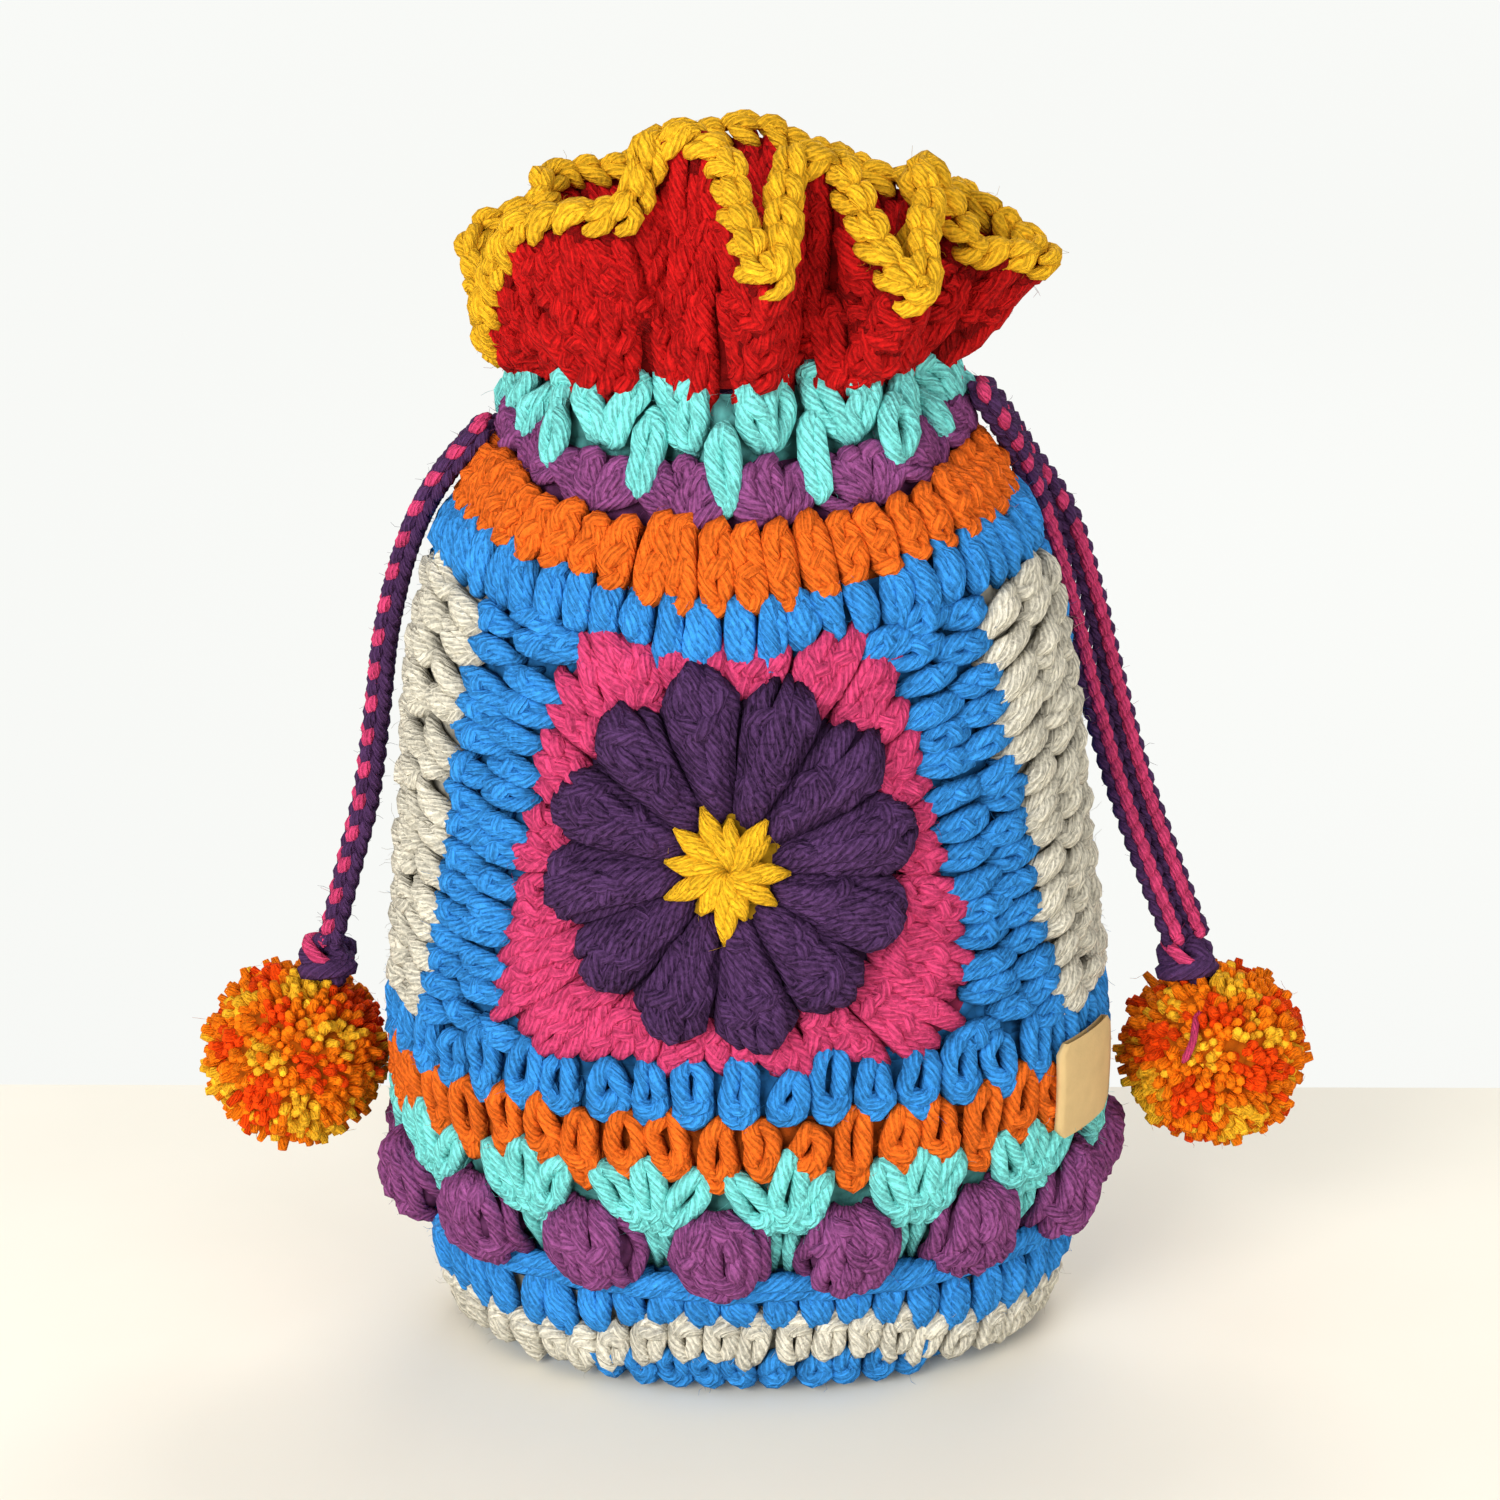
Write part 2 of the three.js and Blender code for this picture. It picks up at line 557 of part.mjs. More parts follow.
// Drawcords: a loop inside the neck, and two strands that come out at the side and hang down
function cordTube(points, steps, diameter) {
  const section = new THREE.Shape();
  for (const k of range(CORD_SIDES)) {
    const angle = 2 * Math.PI * (k + 0.5) / CORD_SIDES;
    const x = diameter / 2 * Math.cos(angle);
    const y = diameter / 2 * Math.sin(angle);
    if (k === 0) section.moveTo(x, y);
    else section.lineTo(x, y);
  }
  section.closePath();
  const curve = new THREE.CatmullRomCurve3(points);
  return new THREE.ExtrudeGeometry(section, { steps, bevelEnabled: false, extrudePath: curve });
}

function makeLoop(side) {
  const direction = SIDES[side];
  const exit = cordExit(side);
  const { halfWidth, halfDepth } = profileAt(exit.z);
  const inset = GATHER_DEPTH + WALL + CORD_DIAMETER / 2 + 2 * GAP;
  const wide = halfWidth - inset;
  const deep = halfDepth - inset;
  const out = Math.abs(exit.x) + CORD_OUT;
  const lead = [[out, 0], [out - 7, 0], [out - 13, 1]];
  const strand = (sign) => lead.map(([x, y]) => (
    new THREE.Vector3(direction * x, exit.y + sign * (STRAND_SPREAD / 2 + y), exit.z)));
  const turns = range(10).map((k) => THREE.MathUtils.degToRad(-28 - 33.8 * k));
  const around = turns.map((angle) => (
    new THREE.Vector3(direction * wide * Math.cos(angle), deep * Math.sin(angle), exit.z)));
  const points = [...strand(-1), ...around, ...strand(1).reverse()];
  addPiece(`${side}_cord_loop`, cordTube(points, 28, CORD_DIAMETER), COLOURS.aubergine);
}

function strandPoints(side, place) {
  const exit = cordExit(side);
  const out = Math.abs(exit.x) + CORD_OUT + GAP + CORD_DIAMETER / 2;
  const y = exit.y + (place === 'front' ? -1 : 1) * STRAND_SPREAD / 2;
  const start = new THREE.Vector3(SIDES[side] * out, y, exit.z);
  return [start, ...STRAND_ROUTES[`${side}_${place}`].map((point) => new THREE.Vector3(...point))];
}

function makeTassel(side) {
  const knotSize = (grow) => {
    const ball = new THREE.IcosahedronGeometry(1, 2);
    ball.scale(KNOT_RADIUS + grow, KNOT_RADIUS + grow, KNOT_HALF_HEIGHT + grow);
    return ball.translate(...KNOT_CENTRES[side]);
  };
  let knot = knotSize(0);
  for (const place of ['front', 'back']) {
    const points = strandPoints(side, place);
    const joint = new THREE.IcosahedronGeometry(CORD_DIAMETER / 2, 1).translate(...points[0].toArray());
    const strand = unite(cordTube(points, 11, CORD_DIAMETER), joint);
    addPiece(`${side}_${place}_strand`, strand, COLOURS.aubergine);
    const end = points[points.length - 1].clone();
    const beyond = end.clone().sub(points[points.length - 2]).setLength(GAP);
    knot = cut(knot, cordTube([...points.slice(-3, -1), end.add(beyond)], 4, CORD_DIAMETER + 2 * GAP));
  }
  addPiece(`${side}_knot`, knot, COLOURS.aubergine);

  const ball = new THREE.IcosahedronGeometry(POMPOM_RADIUS, 3);
  const tufts = ball.attributes.position;
  for (const k of range(tufts.count)) {
    const point = new THREE.Vector3().fromBufferAttribute(tufts, k);
    const bump = Math.sin(point.x * 1.1) * Math.sin(point.y * 1.1 + 1) * Math.sin(point.z * 1.1 + 2);
    point.setLength(POMPOM_RADIUS - POMPOM_TUFTS + POMPOM_TUFTS * bump);
    tufts.setXYZ(k, ...point.toArray());
  }
  ball.translate(...POMPOM_CENTRES[side]);
  addPiece(`${side}_pompom`, cut(ball, knotSize(GAP)), COLOURS.marigold);
}

makeBase();
makeLowerRounds();
makeSquare('front', 0, FRONT_HALF_WIDTH, 2, FRONT_NARROWING);
makeSquare('back', 0.5, PERIMETER / 2 - FRONT_HALF_WIDTH - CREAM_JOIN_WIDTH, 4, 0);
makeCreamJoins();
makeLabel();
makeUpperRounds();
makeRuffle();
for (const side of Object.keys(SIDES)) {
  makeLoop(side);
  makeTassel(side);
}

export default pouch;
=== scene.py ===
# Looks of a crocheted drawstring pouch. Every stitch is made of loops of yarn that are laid on the
# pouch's skin, round by round. Sizes are in millimetres until a mesh is made, in the part's own frame.

import math

import bpy
import numpy as np
from mathutils import Matrix, Vector


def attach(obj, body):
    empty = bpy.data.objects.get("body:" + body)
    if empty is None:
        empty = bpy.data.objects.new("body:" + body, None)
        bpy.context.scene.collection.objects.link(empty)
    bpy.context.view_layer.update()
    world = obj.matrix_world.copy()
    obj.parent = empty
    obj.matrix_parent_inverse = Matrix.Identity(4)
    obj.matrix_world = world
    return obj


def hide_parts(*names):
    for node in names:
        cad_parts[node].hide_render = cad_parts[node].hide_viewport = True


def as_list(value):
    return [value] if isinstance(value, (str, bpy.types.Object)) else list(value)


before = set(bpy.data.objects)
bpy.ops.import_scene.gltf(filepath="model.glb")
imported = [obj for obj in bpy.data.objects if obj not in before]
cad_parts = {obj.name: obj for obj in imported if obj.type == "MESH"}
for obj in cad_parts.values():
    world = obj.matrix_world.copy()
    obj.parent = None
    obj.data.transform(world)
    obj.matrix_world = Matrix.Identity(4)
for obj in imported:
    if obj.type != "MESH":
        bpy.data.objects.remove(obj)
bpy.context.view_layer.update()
rng = np.random.default_rng(11)
MM = 0.001

# Sizes shared with the part
PERIMETER = 340
DEPTH_RATIO = 0.74
WALL = 3.0
STITCHES = 48
PITCH = PERIMETER / STITCHES
GROUPS = 15
GROUP_SHIFT = -3
PETALS = 12
CREAM, BASE_BLUE, BOBBLE, TURQUOISE = 8, 19, 27, 39
LOWER_ORANGE, LOWER_BLUE, SQUARE = 49, 59.5, 68.5
UPPER_BLUE, UPPER_ORANGE, UPPER_PURPLE, EYELET, NECK = 142.5, 150.5, 161, 169, 182.5
SQUARE_MIDDLE = (SQUARE + UPPER_BLUE) / 2
SQUARE_HALF_HEIGHT = (UPPER_BLUE - SQUARE) / 2
GATHERS = 8
GATHER_DEPTH = 5.5
FIRST_GATHER = -0.058
SIDE_LIFT = 8
LIFT_START = SQUARE + (UPPER_BLUE - SQUARE) / 4
PETAL_RADIUS = 32
CENTRE_RADIUS = 9.5
FRONT_HALF_WIDTH = 62
FRONT_NARROWING = 0.17
CREAM_JOIN_WIDTH = 25
BACK_HALF_WIDTH = PERIMETER / 2 - FRONT_HALF_WIDTH - CREAM_JOIN_WIDTH
RUFFLE_HEIGHT = 36
KNOT_CENTRES = {"left": (-78.6, 2.8, 70.2), "right": (82, 5, 69.2)}
POMPOM_CENTRES = {"left": (-86, 1.5, 51), "right": (87.2, 3.5, 50.5)}
POMPOM_RADIUS = 17.2
LABEL_WIDTH, LABEL_HEIGHT = 17, 18
LABEL_SHARE = 0.192
SIDES = {"left": -1, "right": 1}

# The pink round's stitches: half sizes, roundness of the upper and lower corners, narrowing to the top
PINK_HALF = (44.5, 34.5)
PINK_ROUNDNESS = (9, 7)
PINK_NARROWING = 0.34

# Half width, half depth and height of the base's underside
BASE_HALF_WIDTH, BASE_HALF_DEPTH, UNDERSIDE = 53, 36, 4.2

# Radius of the yarn, height of a stitch above the skin, and how many points of yarn share a loose fibre
YARN = 1.75
SINK = -2.0
FUZZ = 40

# Heights above the skin of the cloth behind the stitches and of the pouch's inside
CLOTH = -1.9
INSIDE = 0.3 - WALL

# Height, half width and half depth of the oval section
PROFILE = np.array([
    (0, 53.5, 36.5), (CREAM, 57.5, 39.5), (BOBBLE, 60.5, 42.5), (TURQUOISE, 64.5, 46.5),
    (LOWER_BLUE, 66, 49), (83.3, 63.8, 48), (SQUARE_MIDDLE, 61.5, 46.5), (131.4, 58.8, 44.5),
    (UPPER_ORANGE, 53.5, 41), (UPPER_PURPLE, 48, 38), (EYELET, 42, 34.5), (NECK, 37, 29.5),
])

# Rim of the ruffle: place round the neck as a share of a turn, reach outwards, droop of the rim
RIM = np.array([
    (0, 2, -1), (0.03, 17, 16.5), (0.06, 1, 0), (0.09, 1, 1), (0.12, 16, 21), (0.15, 8, 11),
    (0.18, 1, 3), (0.205, 7, 17), (0.235, 17, 19), (0.28, 5, 11), (0.33, 8, 11), (0.38, 2, 9),
    (0.43, 6, 6), (0.49, 3, 1), (0.55, 5, 3), (0.6, 5, 8), (0.65, 8, 8), (0.68, 4, 12),
    (0.705, 12, 17), (0.74, 8, 25), (0.77, 4, 34), (0.8, 7, 27), (0.83, 9, 18), (0.86, 10, 10),
    (0.9, 9, 8), (0.93, 7, 8), (0.95, 2, -3), (0.975, 1, -4),
])

# Routes of the four strands that hang outside, from the neck down to their knots
STRANDS = {
    "left_front": [
        (-43.0, -3.83, 172.7), (-53, -2.5, 161.5), (-59, -1, 150), (-63.8, 0, 134),
        (-66.4, 0.5, 118), (-69.2, 0.5, 102), (-73.3, 0.5, 88), (-77.6, 0.3, 73.8),
    ],
    "left_back": [
        (-43.0, 1.77, 172.7), (-53, 3.1, 161.5), (-59.4, 4.6, 150), (-64.4, 5.6, 134),
        (-67.4, 6.1, 118), (-70.4, 6.1, 102), (-74.4, 5.9, 88), (-78.4, 5.6, 73.8),
    ],
    "right_front": [
        (42.07, -1.8, 178.2), (46.6, 1, 171.5), (50.8, 8.4, 162.5), (55.4, 15, 150), (60, 16.5, 134),
        (64, 15.5, 118), (68.6, 12.5, 102), (73.6, 8, 88), (79.6, 3.6, 72.8),
    ],
    "right_back": [
        (42.07, 3.8, 178.2), (46.8, 7.2, 171.5), (51.4, 14.6, 163), (59.4, 19.4, 150), (64.6, 20, 134),
        (68.6, 18.8, 118), (73, 15.4, 102), (78, 11, 88), (83.8, 7.1, 72.8),
    ],
}

# Colours of the yarns, as linear light
COLOURS = {
    "blue": [(0.040, 0.279, 0.723)],
    "cream": [(0.74, 0.69, 0.56)],
    "purple": [(0.236, 0.062, 0.193)],
    "turquoise": [(0.203, 0.738, 0.700)],
    "orange": [(0.83, 0.147, 0.014)],
    "pink": [(0.658, 0.056, 0.168)],
    "aubergine": [(0.070, 0.028, 0.093)],
    "yellow": [(0.87, 0.46, 0.018)],
    "red": [(0.50, 0.008, 0.008)],
    "cord": [(0.077, 0.031, 0.102), (0.658, 0.056, 0.168)],
    "marigold": [(0.95, 0.47, 0.02), (0.95, 0.20, 0.004), (0.86, 0.06, 0.002)],
}
# How far each yarn's painted ply shade and highlights, and its random tone, are stretched; most for the dark
# yarns
CONTRASTS = {"purple": 1.4, "aubergine": 1.6, "red": 1.2}
TAN = (0.60, 0.42, 0.19)


# Camera
def add_camera():
    lens = bpy.data.cameras.new("camera")
    lens.sensor_width = 36
    lens.lens = 72
    camera = bpy.data.objects.new("camera", lens)
    bpy.context.collection.objects.link(camera)
    tilt = math.radians(17.6)
    forward = Vector((0, math.cos(tilt), -math.sin(tilt)))
    turn = Matrix.Rotation(math.radians(3), 4, "Z")
    place = Matrix.Translation((0.0015, -0.52, 0.276))
    look = forward.to_track_quat("-Z", "Y").to_matrix().to_4x4()
    roll = Matrix.Rotation(math.radians(-1.1), 4, "Z")
    camera.matrix_world = turn @ place @ look @ roll
    bpy.context.scene.camera = camera


# Smooth lines and surfaces
def smoothstep(value, low, high):
    t = np.clip((value - low) / (high - low), 0, 1)
    return t * t * (3 - 2 * t)


def unit(vectors):
    return vectors / np.linalg.norm(vectors, axis=-1, keepdims=True)


def joined(*values):
    """Values side by side along a new last axis, where a single number stands for a whole row."""
    return np.stack(np.broadcast_arrays(*values), axis=-1)


def smooth(points, count):
    """A smooth line of count points through the given ones, along the last axis but one."""
    p = np.asarray(points, float)
    spans = p.shape[-2] - 1
    first = 2 * p[..., :1, :] - p[..., 1:2, :]
    last = 2 * p[..., -1:, :] - p[..., -2:-1, :]
    p = np.concatenate([first, p, last], axis=-2)
    t = np.linspace(0, spans, count)
    i = np.minimum(t.astype(int), spans - 1)
    f = (t - i)[:, None]
    a, b, c, d = (p[..., i + k, :] for k in range(4))
    return 0.5 * (2 * b + (c - a) * f + (2 * a - 5 * b + 4 * c - d) * f**2 + (3 * b - a - 3 * c + d) * f**3)


def section_at(z):
    """Half width and half depth of the pouch at height z."""
    heights = PROFILE[:, 0]
    sizes = PROFILE[:, 1:]
    before = np.maximum(np.arange(len(heights)) - 1, 0)
    after = np.minimum(np.arange(len(heights)) + 1, len(heights) - 1)
    slopes = (sizes[after] - sizes[before]) / (heights[after] - heights[before])[:, None]
    i = np.clip(np.searchsorted(heights, z) - 1, 0, len(heights) - 2)
    span = (heights[i + 1] - heights[i])[..., None]
    t = (z - heights[i])[..., None] / span
    near = sizes[i] * (1 + 2 * t) * (1 - t) ** 2 + slopes[i] * span * t * (1 - t) ** 2
    far = sizes[i + 1] * t * t * (3 - 2 * t) - slopes[i + 1] * span * t * t * (1 - t)
    return np.moveaxis(near + far, -1, 0)


def turn_angle(x):
    """The angle round the oval at a place x round the pouch."""
    crowding = (1 - DEPTH_RATIO) / (1 + DEPTH_RATIO) / 2
    return 2 * np.pi * x / PERIMETER - crowding * np.sin(4 * np.pi * x / PERIMETER)


def oval(x, z):
    """The pouch's shape without gathers, lifted at both sides by the drawcords."""
    angle = turn_angle(x)
    lift = smoothstep(z, LIFT_START, UPPER_ORANGE) - smoothstep(z, UPPER_PURPLE, NECK)
    level = z + SIDE_LIFT * lift * np.sin(angle) ** 2
    wide, deep = section_at(level)
    return joined(wide * np.sin(angle), -deep * np.cos(angle), level)


def outward(x, z):
    angle = turn_angle(x)
    wide, deep = section_at(z)
    return unit(joined(np.sin(angle) / wide, -np.cos(angle) / deep, 0))


def gather(x, z):
    """How deep the gathers of the neck are."""
    valley = (1 + np.cos(2 * np.pi * GATHERS * (x / PERIMETER - FIRST_GATHER))) / 2
    return GATHER_DEPTH * valley**2 * smoothstep(z, UPPER_ORANGE, NECK - 6)


def skin(x, z):
    """The pouch's skin: x runs round it from the front centre towards +X, z is the height."""
    x, z = np.broadcast_arrays(x, z)
    return oval(x, z) - outward(x, z) * gather(x, z)[..., None]


def ruffle(x, t):
    """The ruffle's middle surface: t runs from the neck at 0 to the rim at 1."""
    x, t = np.broadcast_arrays(x, t)
    share = x / PERIMETER % 1
    spots = np.concatenate([RIM, RIM[:1] + (1, 0, 0)])
    i = np.searchsorted(RIM[:, 0], share, side="right") - 1
    f = smoothstep(share, spots[i, 0], spots[i + 1, 0])
    reach, droop = (spots[i, k] + (spots[i + 1, k] - spots[i, k]) * f for k in (1, 2))
    level = np.full_like(x, NECK)
    out = reach * np.maximum(t, 0) ** 0.85 - WALL / 2 - gather(x, level) * (1 - t)
    points = oval(x, level) + outward(x, level) * out[..., None]
    points[..., 2] = NECK + 0.3 + (RUFFLE_HEIGHT - droop) * t
    return points


def underside(x, inset):
    """The base's underside: inset runs from 0 at its edge to 1 at its middle."""
    x, inset = np.broadcast_arrays(x, inset)
    angle = turn_angle(x)
    size = 1 - inset
    wide, deep = BASE_HALF_WIDTH * size, BASE_HALF_DEPTH * size
    return joined(wide * np.sin(angle), -deep * np.cos(angle), UNDERSIDE)


def frame_on(surface, x, y):
    """Points on the surface, and the directions that stand square on it there."""
    step = 1e-3
    across = surface(x + step * 100, y) - surface(x - step * 100, y)
    up = surface(x, y + step) - surface(x, y - step)
    return surface(x, y), unit(np.cross(across, up))


def lay(surface, x, y, height):
    """Points that lie height above the surface."""
    base, normal = frame_on(surface, x, y)
    return base + normal * np.asarray(height, float)[..., None]


def lengths_along(lines):
    """How far along its line each point lies."""
    steps = np.linalg.norm(np.diff(lines, axis=-2), axis=-1)
    return np.concatenate([np.zeros((*steps.shape[:-1], 1)), np.cumsum(steps, axis=-1)], axis=-1)


def taken_at(places, lengths, field):
    """Values of a field along one line, at places along it."""
    return np.stack([np.interp(places, lengths, field[:, k]) for k in range(field.shape[1])], axis=-1)


# Yarn along lines, and shells of cloth behind it
def directions(lines):
    """Two directions square to each line and to each other, which don't twist along it."""
    tangent = unit(np.gradient(lines, axis=1))
    side = np.cross(tangent[:, 0], (0.31, 0.52, 0.79))
    turned = []
    for k in range(lines.shape[1]):
        side = unit(side - np.sum(side * tangent[:, k], axis=-1, keepdims=True) * tangent[:, k])
        turned.append(side)
    first = np.stack(turned, axis=1)
    return first, np.cross(tangent, first)


def yarn(lines, radius, normals=(0, 0, 0), heights=9.0, levels=(-1.6, 1.2), tint=0.0, sides=6, taper=0.45):
    """Closed strands of yarn along lines, an array of strands, points and coordinates.

    A strand's crown goes from 0 where it lies deep in the cloth to 1 where it stands high, between the
    heights in levels; the yarn's material paints shade where the crown is low."""
    strands, count, _ = lines.shape
    first, second = directions(lines)
    turn = 2 * np.pi * np.arange(sides) / sides
    ring = first[:, :, None] * np.cos(turn)[:, None] + second[:, :, None] * np.sin(turn)[:, None]
    ends = np.ones(count)
    ends[[0, -1]] = taper
    ends[[1, -2]] = 0.5 + taper / 2
    size = np.broadcast_to(radius, (strands,))[:, None] * ends
    ring = ring * size[:, :, None, None]
    rise = np.asarray(heights)[..., None] + np.sum(ring * np.asarray(normals)[..., None, :], axis=-1)

    here = np.arange(sides)
    after = (here + 1) % sides
    level = np.arange(count - 1)[:, None] * sides
    walls = joined(level + here, level + after, level + sides + after, level + sides + here)
    caps = np.concatenate([here[::-1], here + (count - 1) * sides])
    start = np.arange(strands)[:, None] * count * sides
    loops = np.concatenate([(start + walls.ravel()).ravel(), (start + caps).ravel()])
    wall_count = strands * (count - 1)
    sizes = np.repeat((4, sides), (wall_count * sides, 2 * strands))
    corner = joined(here, here + 1, here + 1, here).ravel() / sides
    u = np.concatenate([np.tile(corner, wall_count), np.full(2 * strands * sides, 0.5)])
    along = lengths_along(lines) + rng.uniform(0, 40, (strands, 1))
    v = np.repeat(along.ravel(), sides)[loops]
    return {
        "points": (lines[:, :, None] + ring).reshape(-1, 3), "loops": loops, "sizes": sizes,
        "uv": joined(u, v), "slots": np.zeros(len(sizes), int),
        "shade": np.repeat(rng.uniform(0, 1, strands), count * sides),
        "tint": np.repeat(np.broadcast_to(tint, (strands,)), count * sides),
        "crown": smoothstep(rise, *levels).ravel(), "out": unit(ring).reshape(-1, 3),
    }


def fuzz(strands, count):
    """Fine loose fibres that stand off the yarn where it lies open."""
    openness = strands["crown"] * np.sum(strands["out"] ** 2, axis=-1)
    roots = rng.choice(len(openness), count, p=openness / openness.sum())
    out = strands["out"][roots]
    base = strands["points"][roots]
    length = rng.uniform(1.0, 3.0, (count, 1))
    lean = unit(out + rng.normal(0, 0.7, (count, 3)))
    curl = unit(lean + rng.normal(0, 0.7, (count, 3)))
    lines = np.stack([base - 0.2 * out, base + lean * length / 2, base + (lean + curl) * length / 2], axis=1)
    return yarn(lines, 0.05, tint=strands["tint"][roots], sides=3)


def shell(grid, closed_rows=True, slot=1):
    """Cloth through rows of points, each a closed ring; closed_rows joins the last row to the first."""
    rows, columns, _ = grid.shape
    row = np.arange(rows if closed_rows else rows - 1)[:, None]
    column = np.arange(columns)
    after = (column + 1) % columns
    above = (row + 1) % rows * columns
    quads = joined(row * columns + column, row * columns + after, above + after, above + column)
    count = rows * columns
    faces = quads.size // 4
    return {
        "points": grid.reshape(-1, 3), "loops": quads.ravel(), "sizes": np.full(faces, 4),
        "uv": np.zeros((quads.size, 2)), "slots": np.full(faces, slot),
        "shade": np.full(count, 0.5), "tint": np.zeros(count), "crown": np.ones(count),
        "out": np.zeros((count, 3)),
    }


def merged(parts):
    """Several parts as one."""
    starts = np.cumsum([0] + [len(part["points"]) for part in parts])
    whole = {key: np.concatenate([part[key] for part in parts]) for key in parts[0]}
    whole["loops"] = np.concatenate([part["loops"] + start for part, start in zip(parts, starts)])
    return whole


def make_object(name, parts, materials):
    """One mesh of yarns and shells, in metres, flat where it meets the ground."""
    whole = merged(parts)
    if whole["out"].any():
        whole = merged([whole, fuzz(whole, len(whole["points"]) // FUZZ)])
    whole["points"][:, 2] = np.maximum(whole["points"][:, 2], 0)
    sizes = whole["sizes"]
    mesh = bpy.data.meshes.new(name)
    mesh.vertices.add(len(whole["points"]))
    mesh.vertices.foreach_set("co", (whole["points"] * MM).astype(np.float32).ravel())
    mesh.loops.add(len(whole["loops"]))
    mesh.loops.foreach_set("vertex_index", whole["loops"].astype(np.int32))
    mesh.polygons.add(len(sizes))
    mesh.polygons.foreach_set("loop_start", (np.cumsum(sizes) - sizes).astype(np.int32))
    mesh.polygons.foreach_set("material_index", whole["slots"].astype(np.int32))
    mesh.shade_smooth()
    mesh.uv_layers.new(name="yarn").data.foreach_set("uv", whole["uv"].astype(np.float32).ravel())
    for key in ("shade", "tint", "crown"):
        mesh.attributes.new(key, "FLOAT", "POINT").data.foreach_set("value", whole[key].astype(np.float32))
    for material in materials:
        mesh.materials.append(material)
    mesh.update(calc_edges=True)
    mesh.validate()
    thing = bpy.data.objects.new(name, mesh)
    bpy.context.collection.objects.link(thing)
    return thing


def add_piece(name, parts, colour, node, body="pouch"):
    """A piece that takes the place of a node of the part."""
    thing = make_object(name, parts, MATERIALS[colour])
    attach(thing, body)
    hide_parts(node)
    return thing


# Materials
class Shader:
    """The node tree of a material or a world, built call by call."""

    def __init__(self, owner, surface="Principled BSDF"):
        owner.use_nodes = True
        self.owner = owner
        self.tree = owner.node_tree
        self.surface = self.tree.nodes[surface]

    def node(self, kind, inputs=(), **settings):
        made = self.tree.nodes.new(kind)
        for key, value in settings.items():
            setattr(made, key, value)
        for key, value in dict(inputs).items():
            self.put(made.inputs[key], value)
        return made

    def put(self, socket, value):
        if isinstance(value, bpy.types.NodeSocket):
            self.tree.links.new(value, socket)
        else:
            socket.default_value = value

    def math(self, operation, a, b=0.0, c=0.0):
        return self.node("ShaderNodeMath", {0: a, 1: b, 2: c}, operation=operation).outputs[0]

    def mix(self, factor, a, b, blend="MIX"):
        inputs = {0: factor, 6: a, 7: b}
        return self.node("ShaderNodeMix", inputs, data_type="RGBA", blend_type=blend).outputs[2]

    def noise(self, vector, scale, detail):
        inputs = {"Vector": vector, "Scale": scale, "Detail": detail}
        return self.node("ShaderNodeTexNoise", inputs).outputs[0]

    def steps(self, factor, stops):
        """One colour after another as the factor grows, with no blend between them."""
        made = self.node("ShaderNodeValToRGB", {0: factor})
        made.color_ramp.interpolation = "CONSTANT"
        while len(made.color_ramp.elements) < len(stops):
            made.color_ramp.elements.new(0.5)
        for element, (place, colour) in zip(made.color_ramp.elements, stops):
            element.position = place
            element.color = (*colour, 1)
        return made.outputs[0]

    def spot(self):
        return self.node("ShaderNodeTexCoord").outputs["Object"]

    def attribute(self, name):
        return self.node("ShaderNodeAttribute", attribute_name=name).outputs["Fac"]

    def finish(self, colour, height, strength, distance, roughness=0.9, sheen=0.0, sheen_tint=(1, 1, 1, 1)):
        bump = self.node("ShaderNodeBump", {"Height": height, "Strength": strength, "Distance": distance})
        looks = {
            "Base Color": colour, "Normal": bump.outputs[0], "Roughness": roughness,
            "Specular IOR Level": 0.08, "Sheen Weight": sheen, "Sheen Tint": sheen_tint,
            "Sheen Roughness": 0.5,
        }
        for key, value in looks.items():
            self.put(self.surface.inputs[key], value)
        return self.owner


def opaque(colour, factor=1.0):
    return (*(channel * factor for channel in colour), 1)


